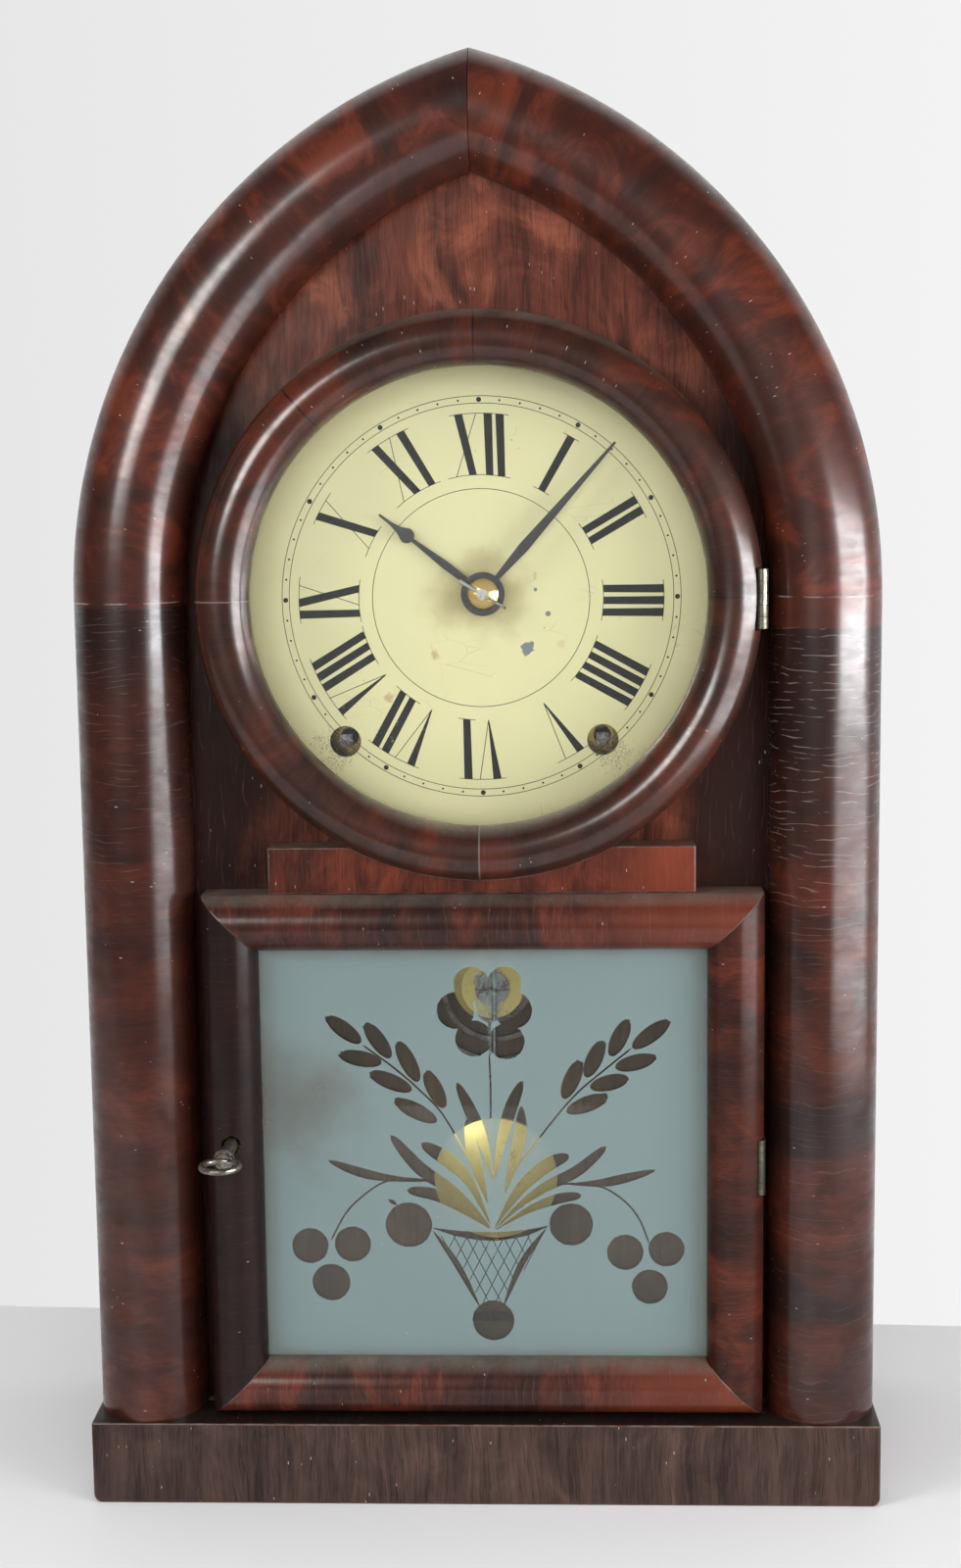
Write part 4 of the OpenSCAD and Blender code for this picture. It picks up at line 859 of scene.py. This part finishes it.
def numeral_strokes(word):
    """Strokes of one numeral in millimetres, side by side and centred."""
    strokes, place = [], 0.0
    for letter in word:
        advance, parts = LETTERS[letter]
        strokes += [(place + outer, place + inner, wide, narrow) for outer, inner, wide, narrow in parts]
        place += advance + LETTER_GAP
    middle = (place - LETTER_GAP) / 2
    return [(outer - middle, inner - middle * INNER_SQUEEZE, wide, narrow)
            for outer, inner, wide, narrow in strokes]


def numeral_lines(strokes, word, outer, inner):
    """The radius, the lowest and the highest place of the thin lines that close a numeral."""
    lines = [(outer, min(stroke[0] for stroke in strokes), max(stroke[0] for stroke in strokes))]
    feet = [stroke[1] for stroke in strokes if stroke[3] != POINTED]
    if "V" in word:
        apex = [stroke[1] for stroke in strokes if stroke[3] == POINTED][0]
        feet = [place for place in feet if place != apex]
    if feet:
        lines.append((inner, min(feet), max(feet)))
    return lines


def dial_print():
    dial = settings("dial")
    centre = Vector((dial.artwork_x, DIAL_FRONT - PRINT_LIFT, dial.artwork_z))
    hair = dial.hairline / 2
    points, faces = [], []

    def take(more, ways):
        first = len(points)
        points.extend(more)
        faces.extend([tuple(first + index for index in way) for way in ways])

    def directions(angle):
        """Outward and sideways on the dial, at an angle clockwise from twelve."""
        across, up = math.sin(angle), math.cos(angle)
        return Vector((across, 0.0, up)), Vector((up, 0.0, -across))

    for radius in CIRCLES:
        take(*band(centre, radius - hair, radius + hair, 0.0, math.tau, CIRCLE_STEPS))
    for minute in range(60):
        size = MINUTE_DOT if minute % 5 else HOUR_DOT
        middle = centre + directions(math.tau * minute / 60)[0] * DOTS_RADIUS
        take([middle + directions(-math.tau * side / DOT_SIDES)[1] * size for side in range(DOT_SIDES)],
             [range(DOT_SIDES)])
    outer, inner = dial.numeral_outer, dial.numeral_inner
    for hour, word in enumerate(HOURS):
        angle = math.tau * hour / 12 + (THREE_LEAN if word == "III" else 0.0)
        outward, aside = directions(angle)
        strokes = numeral_strokes(word)
        for far, near, wide, narrow in strokes:
            corners = []
            for reach, place, width, way in ((outer, far, wide, 1), (inner, near, narrow, -1)):
                drop = reach - (place * MM) ** 2 / (2 * reach)
                at = centre + outward * drop + aside * place * MM
                half = aside * way * width * dial.thick_stroke / 2
                corners += [at - half, at + half]
            take(corners, [(0, 1, 2, 3)])
        for reach, low, high in numeral_lines(strokes, word, outer, inner):
            take(*band(centre, reach - hair, reach + hair, angle + (low - LINE_OVERHANG) * MM / reach,
                       angle + (high + LINE_OVERHANG) * MM / reach, LINE_STEPS))
    mesh_object("dial_print", points, faces, [dial_ink()], "case")


# The lower glass, in millimetres from its middle

SPRIG_LEAVES = (
    ((-52.7, 48.3), (-41.3, 39.3)), ((-39.8, 46.2), (-31.4, 34.0)), ((-48.7, 35.2), (-34.4, 32.4)),
    ((-29.0, 39.8), (-22.1, 25.8)), ((-38.7, 28.9), (-24.4, 22.8)), ((-19.6, 29.6), (-13.5, 16.6)),
    ((-30.4, 19.4), (-16.1, 11.9)), ((62.5, 46.6), (50.2, 37.3)), ((48.8, 47.0), (42.8, 34.5)),
    ((57.9, 34.0), (44.4, 30.5)), ((40.2, 39.9), (34.5, 27.2)), ((49.0, 26.9), (35.9, 23.7)),
    ((32.7, 33.2), (26.9, 19.8)), ((41.9, 20.6), (27.9, 15.2)))
STEMS = (
    ((-40.5, 38.3), (-30.7, 30.9), (-21.9, 23.0), (-14.0, 14.3), (-4.8, -2.2)),
    ((49.7, 37.1), (39.6, 28.8), (31.7, 21.9), (23.7, 12.7), (9.6, -5.8)),
    ((-17.4, -9.2), (-26.4, -8.0), (-34.4, -9.4), (-41.5, -14.1), (-47.6, -20.3), (-52.7, -29.7)),
    ((20.0, -10.4), (31.5, -9.9), (40.4, -11.4), (47.4, -16.1), (52.3, -22.3), (55.5, -30.6)),
    ((2.0, 34.9), (2.3, 23.9), (2.2, 12.5)))
# Each: width, where it is fullest, points
BLADES = (
    (4.6, 0.3, ((-31.8, 7.1), (-22.3, -4.2), (-12.4, -11.5), (-4.5, -18.2), (1.9, -25.6))),
    (5.0, 0.3, ((-21.4, 4.3), (-11.8, -2.2), (-4.9, -9.9), (1.9, -24.9))),
    (4.2, 0.3, ((-26.6, -12.2), (-16.4, -14.0), (-6.5, -19.7), (1.9, -26.0))),
    (4.4, 0.36, ((-9.1, 25.5), (-3.6, 13.2), (0.2, 2.5), (2.8, -8.9))),
    (4.4, 0.4, ((-5.9, 12.7), (-4.2, 2.5), (-1.9, -6.8), (1.0, -17.1))),
    (4.4, 0.36, ((13.1, 26.0), (8.8, 15.8), (5.5, 3.5), (3.2, -8.9))),
    (4.4, 0.4, ((12.6, 17.3), (12.2, 7.6), (9.7, -2.7), (6.5, -14.0))),
    (4.0, 0.3, ((41.2, 3.2), (31.5, -5.3), (20.5, -11.1), (11.5, -17.7), (3.2, -26.0))),
    (4.8, 0.3, ((28.6, 0.0), (21.6, -3.2), (13.6, -9.9), (7.5, -18.2), (3.2, -25.4))),
    (3.6, 0.3, ((32.7, -14.0), (24.5, -15.3), (14.5, -19.2), (3.4, -26.3))),
    (3.4, 0.4, ((-53.3, -1.7), (-43.3, -5.6), (-33.4, -7.8), (-18.4, -9.1))),
    (3.4, 0.4, ((58.0, -5.1), (46.4, -8.3), (38.5, -9.7), (27.5, -10.1))),
    (1.4, 0.5, ((-33.0, -15.4), (-30.0, -17.4))),
    (3.0, 0.5, ((-18.1, -25.5), (-8.6, -27.6), (2.4, -28.5), (13.4, -27.2), (21.7, -24.7))),
    (2.2, 0.5, ((-18.0, -26.4), (-9.8, -38.5), (-2.0, -54.0))),
    (2.2, 0.5, ((21.0, -25.2), (12.3, -37.9), (5.6, -54.0))))
# Each: across, up, radius
ROUNDS = (
    (-9.2, 50.3, 6.3), (10.2, 50.4, 6.3), (-3.2, 40.7, 6.2), (7.8, 39.6, 6.1), (-3.8, 59.4, 5.9),
    (7.4, 59.7, 5.7), (-60.0, -31.8, 6.2), (-45.4, -31.2, 6.2), (-53.0, -44.8, 6.5),
    (47.5, -34.0, 6.2), (61.5, -32.9, 6.1), (55.8, -46.2, 6.1), (-26.1, -24.4, 7.9),
    (29.2, -24.2, 7.4), (2.4, -58.3, 7.1))
# Each: across, up, half its width, half its height
FROST_ISLANDS = ((-1.3, 61.0, 1.9, 3.2), (4.9, 61.0, 2.3, 3.2), (2.2, 51.8, 4.6, 5.6), (2.3, 42.5, 0.5, 8.0))
LEAF_WIDTH = 5.5
LEAF_POINTS = 44
FEATHERED_END = 0.16
FEATHER = 0.55
WAVER = 0.08
ROUND_POINTS = 64
ROUND_WAVER = 0.13
ISLAND_WAVER = 0.3
BLADE_STEPS = 7
STEM_STEPS = 6
STEM_WIDTH = 0.62
STEM_END = 0.4
BASKET_LOW = -54.0
BASKET_HIGH = -28.0
BASKET_MIDDLE = 2.0
BASKET_HALF_FOOT = 2.6
BASKET_FLARE = 0.62
LATTICE_WIDTH = 0.75
LATTICE_PITCH = 4.2
LATTICE_LEAN = 0.5
LATTICE_STEPS = 52
LATTICE_LINES = 7
FEWEST_STEPS = 8


def loop_leaf(start, stop, chance):
    """A small oval leaf between two points. Its outer end is feathered by the wheel."""
    (x0, z0), (x1, z1) = start, stop
    reach = math.hypot(x1 - x0, z1 - z0)
    ux, uz = (x1 - x0) / reach, (z1 - z0) / reach
    loop = []
    for k in range(LEAF_POINTS):
        turn = math.tau * k / LEAF_POINTS
        gone = 0.5 - 0.5 * math.cos(turn)
        along = reach * gone + chance.uniform(-1.0, 1.0) * (FEATHER if gone < FEATHERED_END else WAVER)
        aside = math.sin(turn) * LEAF_WIDTH / 2
        loop.append((x0 + ux * along - uz * aside, z0 + uz * along + ux * aside))
    return loop


def curve_through(points, steps):
    """A smooth path through points."""
    path = []
    knots = [Vector(point) for point in (points[0], *points, points[-1])]
    for p0, p1, p2, p3 in zip(knots, knots[1:], knots[2:], knots[3:]):
        for step in range(steps):
            t = step / steps
            path.append(tuple(0.5 * ((2 * p1) + (p2 - p0) * t + (2 * p0 - 5 * p1 + 4 * p2 - p3) * t ** 2
                                     + (3 * p1 - p0 - 3 * p2 + p3) * t ** 3)))
    path.append(tuple(points[-1]))
    return path


def both_sides(path, half_widths):
    """The points left and right of a path."""
    left, right = [], []
    for k, ((x, z), half) in enumerate(zip(path, half_widths)):
        x0, z0 = path[max(0, k - 1)]
        x1, z1 = path[min(len(path) - 1, k + 1)]
        reach = math.hypot(x1 - x0, z1 - z0)
        aside, up = -(z1 - z0) / reach * half, (x1 - x0) / reach * half
        left.append((x + aside, z + up))
        right.append((x - aside, z - up))
    return left, right


def loop_blade(points, width, fullest):
    """A long leaf that fades to a point at both ends."""
    path = curve_through(points, BLADE_STEPS)
    bend = math.log(0.5) / math.log(fullest)
    swells = [math.sin(math.pi * (k / (len(path) - 1)) ** bend) * width / 2 for k in range(len(path))]
    left, right = both_sides(path, swells)
    return left + right[-2:0:-1]


def loop_band(path, width):
    """A strip of even width along a path, with slightly pointed ends."""
    ends = (0, len(path) - 1)
    halves = [width / 2 * (STEM_END if k in ends else 1.0) for k in range(len(path))]
    left, right = both_sides(path, halves)
    return left + right[::-1]


def ragged_round(x, z, wide, tall, chance, waver):
    """A ground round: its edge is slightly feathered by the wheel."""
    loop = []
    for k in range(ROUND_POINTS):
        off = chance.uniform(-waver, waver)
        turn = math.tau * k / ROUND_POINTS
        loop.append((x + (wide + off) * math.cos(turn), z + (tall + off) * math.sin(turn)))
    return loop


def lattice():
    """Crossed lines in the basket, cut off at its sides. The very short ones are left out."""
    lines = []
    for lean in (-LATTICE_LEAN, LATTICE_LEAN):
        for k in range(-LATTICE_LINES, LATTICE_LINES + 1):
            inside = []
            for step in range(LATTICE_STEPS + 1):
                z = BASKET_LOW + (BASKET_HIGH - BASKET_LOW) * step / LATTICE_STEPS
                x = BASKET_MIDDLE + k * LATTICE_PITCH + lean * (z - BASKET_LOW)
                if abs(x - BASKET_MIDDLE) < BASKET_HALF_FOOT + (z - BASKET_LOW) * BASKET_FLARE:
                    inside.append((x, z))
            if len(inside) > FEWEST_STEPS:
                lines.append([inside[0], inside[-1]])
    return lines


def ornament():
    """A flower over a basket of leaves: cut loops, and frosted islands in them."""
    chance = random.Random(11)
    cut = [loop_leaf(start, stop, chance) for start, stop in SPRIG_LEAVES]
    cut += [loop_blade(points, width, fullest) for width, fullest, points in BLADES]
    cut += [loop_band(curve_through(points, STEM_STEPS), STEM_WIDTH) for points in STEMS]
    cut += [loop_band(points, LATTICE_WIDTH) for points in lattice()]
    cut += [ragged_round(x, z, radius, radius, chance, ROUND_WAVER) for x, z, radius in ROUNDS]
    islands = [ragged_round(*island, chance, ISLAND_WAVER) for island in FROST_ISLANDS]
    return cut, islands


def frosted_sheet():
    """The ground of the lower glass with its clear ornament, on the front of the glass."""
    edge, lift, thickness, tolerance = 0.001, 0.00003, 0.00005, 0.0000001
    low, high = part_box("tablet_glass")
    middle = (low.x + high.x) / 2
    points = [Vector(corner) for corner in (
        (low.x + edge, low.z + edge), (high.x - edge, low.z + edge),
        (high.x - edge, high.z - edge), (low.x + edge, high.z - edge))]
    loops = [list(range(4))]
    cut, islands = ornament()
    for loop in cut + islands:
        area = sum(a[0] * b[1] - b[0] * a[1] for a, b in zip(loop, loop[1:] + loop[:1]))
        first = len(points)
        for x, z in loop if area > 0 else loop[::-1]:
            points.append(Vector((middle + x * MM, TABLET_Z + z * MM)))
        loops.append(list(range(first, len(points))))
    verts, _, faces, _, _, origin = delaunay_2d_cdt(points, [], loops, 1, tolerance)
    ground, clear, thin = [], [], []
    for face, source in zip(faces, origin):
        is_cut = any(0 < index <= len(cut) for index in source)
        is_island = any(index > len(cut) for index in source)
        (thin if is_island else clear if is_cut else ground).append(tuple(face))
    flat = [(vert.x, low.y - lift, vert.y) for vert in verts]
    skins = [frosted(), thin_frost()]
    sheet = mesh_object("tablet_frost", flat, ground + thin, skins, "door")
    for face in sheet.data.polygons[len(ground):]:
        face.material_index = 1
    haze = mesh_object("tablet_ornament", flat, clear, [cut_ornament()], "door")
    for made in (sheet, haze):
        shape = bmesh.new()
        shape.from_mesh(made.data)
        if made is sheet:
            thicken(shape, list(shape.faces), (0.0, -thickness, 0.0))
        else:
            drop_loose(shape)
        shape.to_mesh(made.data)
        shape.free()


# Stage

TABLE_HALF_WIDTH = 1.6
TABLE_FRONT = -0.5
TABLE_THICKNESS = 0.03
TABLE_BACK_SLOPE = -0.0496
LAMP_AIM = (0.0, 0.0, 0.3)
# Strength of the room's light on what doesn't mirror it
ROOM_DIM = 0.17
# In millimetres, as the lens is
SENSOR_WIDTH = 36.0
NEAREST, FARTHEST = 0.01, 50.0
CAMERA_PLACE = (0.029452, -0.748079, 0.343865)
# Degrees, each about one axis, the first as the outermost
CAMERA_TURNS = ((2.251, "Z"), (-7.729, "X"), (0.696, "Y"), (90.0, "X"))
SUN, SKY, EVEN = (1.0, 0.99, 0.97), (0.97, 0.98, 1.0), (1.0, 1.0, 1.0)
# Two windows that only the varnish and the glass mirror, and soft lamps that only light.
# Each: name, place, size, power, tone, and whether it is mirrored or lights
LAMPS = (
    ("window_left", (-0.47, -0.97, 0.55), (0.34, 0.28), 5.6, SUN, "mirrored"),
    ("window_left_glow", (-0.48, -0.98, 0.56), (0.54, 0.36), 4.6, SUN, "mirrored"),
    ("window_right", (0.30, -0.18, 0.30), (0.26, 0.10), 1.7, SKY, "mirrored"),
    ("window_right_glow", (0.31, -0.185, 0.235), (0.34, 0.25), 1.25, SKY, "mirrored"),
    ("window_right_haze", (0.32, -0.19, 0.225), (0.46, 0.29), 1.3, SKY, "mirrored"),
    ("soft_left", (-0.86, -0.62, 0.72), (0.50, 0.52), 5.0, SUN, "lights"),
    ("soft_right", (0.88, -0.64, 0.33), (0.60, 0.52), 5.5, SKY, "lights"),
    ("soft_front", (0.05, -1.7, 0.50), (1.4, 0.9), 12.5, EVEN, "lights"),
    ("ceiling", (0.0, -0.1, 1.7), (1.6, 1.2), 14.0, EVEN, "lights"))


@finish("Pale table")
def pale_table(bench):
    floor = settings("stage").floor
    place = bench.place()
    cloud = bench.noise(place, 3.0, 4.0)
    toned = bench.mix(bench.fit(cloud, 0.3, 0.7, 0.0, 0.25), floor, scaled(floor, 0.94))
    # Painted light: the table top is made lighter to the right.
    toned = bench.mix(bench.fit(bench.split(place)[0], -0.1, 0.25), toned, (0.99, 0.985, 0.99))
    return bench.surface({"Base Color": toned, "Roughness": bench.fit(cloud, 0.3, 0.7, 0.5, 0.62)})


def table_top():
    end = settings("stage").floor_end
    slope = TABLE_BACK_SLOPE * TABLE_HALF_WIDTH
    shape = bmesh.new()
    outline = [(-TABLE_HALF_WIDTH, TABLE_FRONT), (TABLE_HALF_WIDTH, TABLE_FRONT),
               (TABLE_HALF_WIDTH, end + slope), (-TABLE_HALF_WIDTH, end - slope)]
    top = shape.faces.new([shape.verts.new((x, y, 0.0)) for x, y in outline])
    thicken(shape, [top], (0.0, 0.0, -TABLE_THICKNESS))
    data = bpy.data.meshes.new("table_top")
    shape.to_mesh(data)
    shape.free()
    data.materials.append(pale_table())
    floor = new_object("table_top", data)


def lamp(name, place, size, power, tone, kind):
    data = bpy.data.lights.new(name, "AREA")
    data.shape = "RECTANGLE"
    data.size, data.size_y = size
    data.energy = power
    data.color = tone
    made = new_object(name, data)
    made.location = place
    made.rotation_euler = (Vector(LAMP_AIM) - Vector(place)).to_track_quat("-Z", "Y").to_euler()
    made.visible_glossy = made.visible_transmission = kind == "mirrored"
    made.visible_diffuse = kind == "lights"
    made.visible_camera = False


def surroundings():
    """Pale for the camera, for glass and for what mirrors the back of the room, and dim in front."""
    backdrop = settings("stage").backdrop
    world = bpy.data.worlds.new("Room")
    bpy.context.scene.world = world
    world.use_nodes = True
    world.node_tree.nodes.clear()
    bench = Bench(world.node_tree)
    path = bench.add("ShaderNodeLightPath").outputs
    seen = bench.larger(path["Is Camera Ray"], path["Is Transmission Ray"])
    aside, facing, _ = bench.split(bench.add("ShaderNodeTexCoord").outputs["Generated"])
    mirrored = bench.times(path["Is Glossy Ray"], bench.fit(facing, -0.05, 0.5, 0.04, 1.0, soft=True))
    dim = bench.times(ROOM_DIM, bench.minus(1.0, path["Is Glossy Ray"]))
    # Painted light: the backdrop is made lighter to the right.
    tone = bench.mix(bench.fit(aside, -0.25, 0.3), scaled(backdrop, 0.93), scaled(backdrop, 1.07))
    shader = bench.add("ShaderNodeBackground", {
        "Color": tone, "Strength": bench.larger(bench.larger(seen, mirrored), dim)})
    bench.add("ShaderNodeOutputWorld", {"Surface": shader.outputs[0]})


def photo_camera():
    data = bpy.data.cameras.new("camera")
    data.lens = settings("stage").lens
    data.sensor_width = SENSOR_WIDTH
    data.clip_start, data.clip_end = NEAREST, FARTHEST
    made = new_object("camera", data)
    turned = Matrix.Identity(4)
    for angle, axis in CAMERA_TURNS:
        turned = turned @ Matrix.Rotation(math.radians(angle), 4, axis)
    made.matrix_world = Matrix.Translation(CAMERA_PLACE) @ turned
    bpy.context.scene.camera = made


# Operators: one for each piece or group of like pieces, and one for the stage

class ClockStageMake(bpy.types.Operator):
    """Lays the table top, sets the lamps and the camera"""
    bl_idname = "clock.stage"
    bl_label = "Stage, lamps and camera"

    def execute(self, context):
        context.scene.view_settings.view_transform = "Standard"
        table_top()
        surroundings()
        for row in LAMPS:
            lamp(*row)
        photo_camera()
        return {"FINISHED"}


class ClockCaseMake(bpy.types.Operator):
    """Veneers the case: base, sides, arches, mouldings and front panel"""
    bl_idname = "clock.case"
    bl_label = "Case"

    def execute(self, context):
        skins = wood_materials()
        softened("base_rails", "base_wood", "case", [skins["base"], skins["edge"]])
        softened("front_panel", "panel_wood", "case", [skins["panel"], skins["edge"]],
                 PANEL_EDGE_WIDTH)
        dress(["column_mouldings"], skins["columns"])
        dress(["arch_mouldings", "case_arches"], skins["arches"])
        dress(["case_sides"], skins["sides"])
        dress(["case_floor", "backboard", "movement_battens"], skins["pine"])
        return {"FINISHED"}


class ClockDoorMake(bpy.types.Operator):
    """Veneers the door: ring, header block, rails and stiles"""
    bl_idname = "clock.door"
    bl_label = "Door"

    def execute(self, context):
        skins = wood_materials()
        softened("door_header_block", "header_wood", "door", [skins["header"], skins["edge"]])
        softened("door_rails", "rail_wood", "door", [skins["rails"], skins["edge"]])
        softened("door_stiles", "stile_wood", "door", [skins["stiles"], skins["edge"]])
        dress(["door_ring"], skins["ring"])
        dress(["glazing_beads"], skins["pine"])
        return {"FINISHED"}


class ClockDialMake(bpy.types.Operator):
    """Paints the dial and prints its circles, dots and numerals"""
    bl_idname = "clock.dial"
    bl_label = "Dial"

    def execute(self, context):
        dress(["dial_plate"], dial_paint())
        dial_print()
        return {"FINISHED"}


class ClockGlassMake(bpy.types.Operator):
    """Clears the dial glass and frosts the lower glass round its ornament"""
    bl_idname = "clock.glass"
    bl_label = "Glasses"

    def execute(self, context):
        dress(["dial_glass", "tablet_glass"], old_glass())
        frosted_sheet()
        return {"FINISHED"}


class ClockMetalMake(bpy.types.Operator):
    """Finishes the hands, hinges, latch, screws, movement, pendulum and gong"""
    bl_idname = "clock.metal"
    bl_label = "Metal parts"

    def execute(self, context):
        skins = metal_materials()
        dress(["hour_hand", "minute_hand"], skins["hands"])
        dress(["hinge_case_leaves", "hinge_door_leaves"], skins["hinge"])
        dress(["latch_key"], skins["key"])
        dress(["hand_collet", "latch_bush"], skins["bright brass"])
        dress(["pendulum_bob", "gong_base"], skins["bob"])
        dress(["wood_screws", "steel_nuts", "latch_keeper", "latch_hook", "suspension_spring", "hammer",
               "pendulum_rod", "count_lever", "verge_and_crutch", "centre_arbor", "time_click",
               "strike_click", "time_mainspring", "strike_mainspring"], skins["steel"])
        dress(["time_winding_arbor", "strike_winding_arbor"], skins["arbor"])
        dress(["front_plate", "back_plate", "plate_pillars", "suspension_post", "fly", "time_great_wheel",
               "second_wheel", "third_wheel", "escape_wheel", "centre_wheel", "minute_wheel",
               "hour_wheel", "rating_nut", "strike_great_wheel", "strike_second_wheel",
               "strike_third_wheel", "count_wheel"], skins["brass"])
        dress(["gong_coil"], skins["spring"])
        return {"FINISHED"}


class ClockPanel(bpy.types.Panel):
    """Lists the steps and the settings in the 3D view's sidebar"""
    bl_label = "Beehive clock"
    bl_idname = "VIEW3D_PT_clock"
    bl_space_type = "VIEW_3D"
    bl_region_type = "UI"
    bl_category = "Clock"

    def draw(self, context):
        for step in STEPS:
            self.layout.operator(step.bl_idname)
        for name in GROUPS:
            group = settings(name)
            box = self.layout.box()
            for item in group.bl_rna.properties:
                if item.identifier not in ("rna_type", "name"):
                    box.prop(group, item.identifier)


GROUPS = {"wood": ClockWood, "dial": ClockDial, "metal": ClockMetal, "tablet": ClockTablet,
          "stage": ClockStage}
STEPS = [ClockStageMake, ClockCaseMake, ClockDoorMake, ClockDialMake, ClockGlassMake, ClockMetalMake]


def register():
    for item in [*GROUPS.values(), *STEPS, ClockPanel]:
        bpy.utils.register_class(item)
    for name, group in GROUPS.items():
        setattr(bpy.types.Scene, "clock_" + name, bpy.props.PointerProperty(type=group))


def unregister():
    for name in GROUPS:
        delattr(bpy.types.Scene, "clock_" + name)
    for item in reversed([*GROUPS.values(), *STEPS, ClockPanel]):
        bpy.utils.unregister_class(item)


def main():
    register()
    random.seed(5)
    for step in STEPS:
        group, operator = step.bl_idname.split(".")
        getattr(getattr(bpy.ops, group), operator)()


if __name__ == "__main__":
    main()
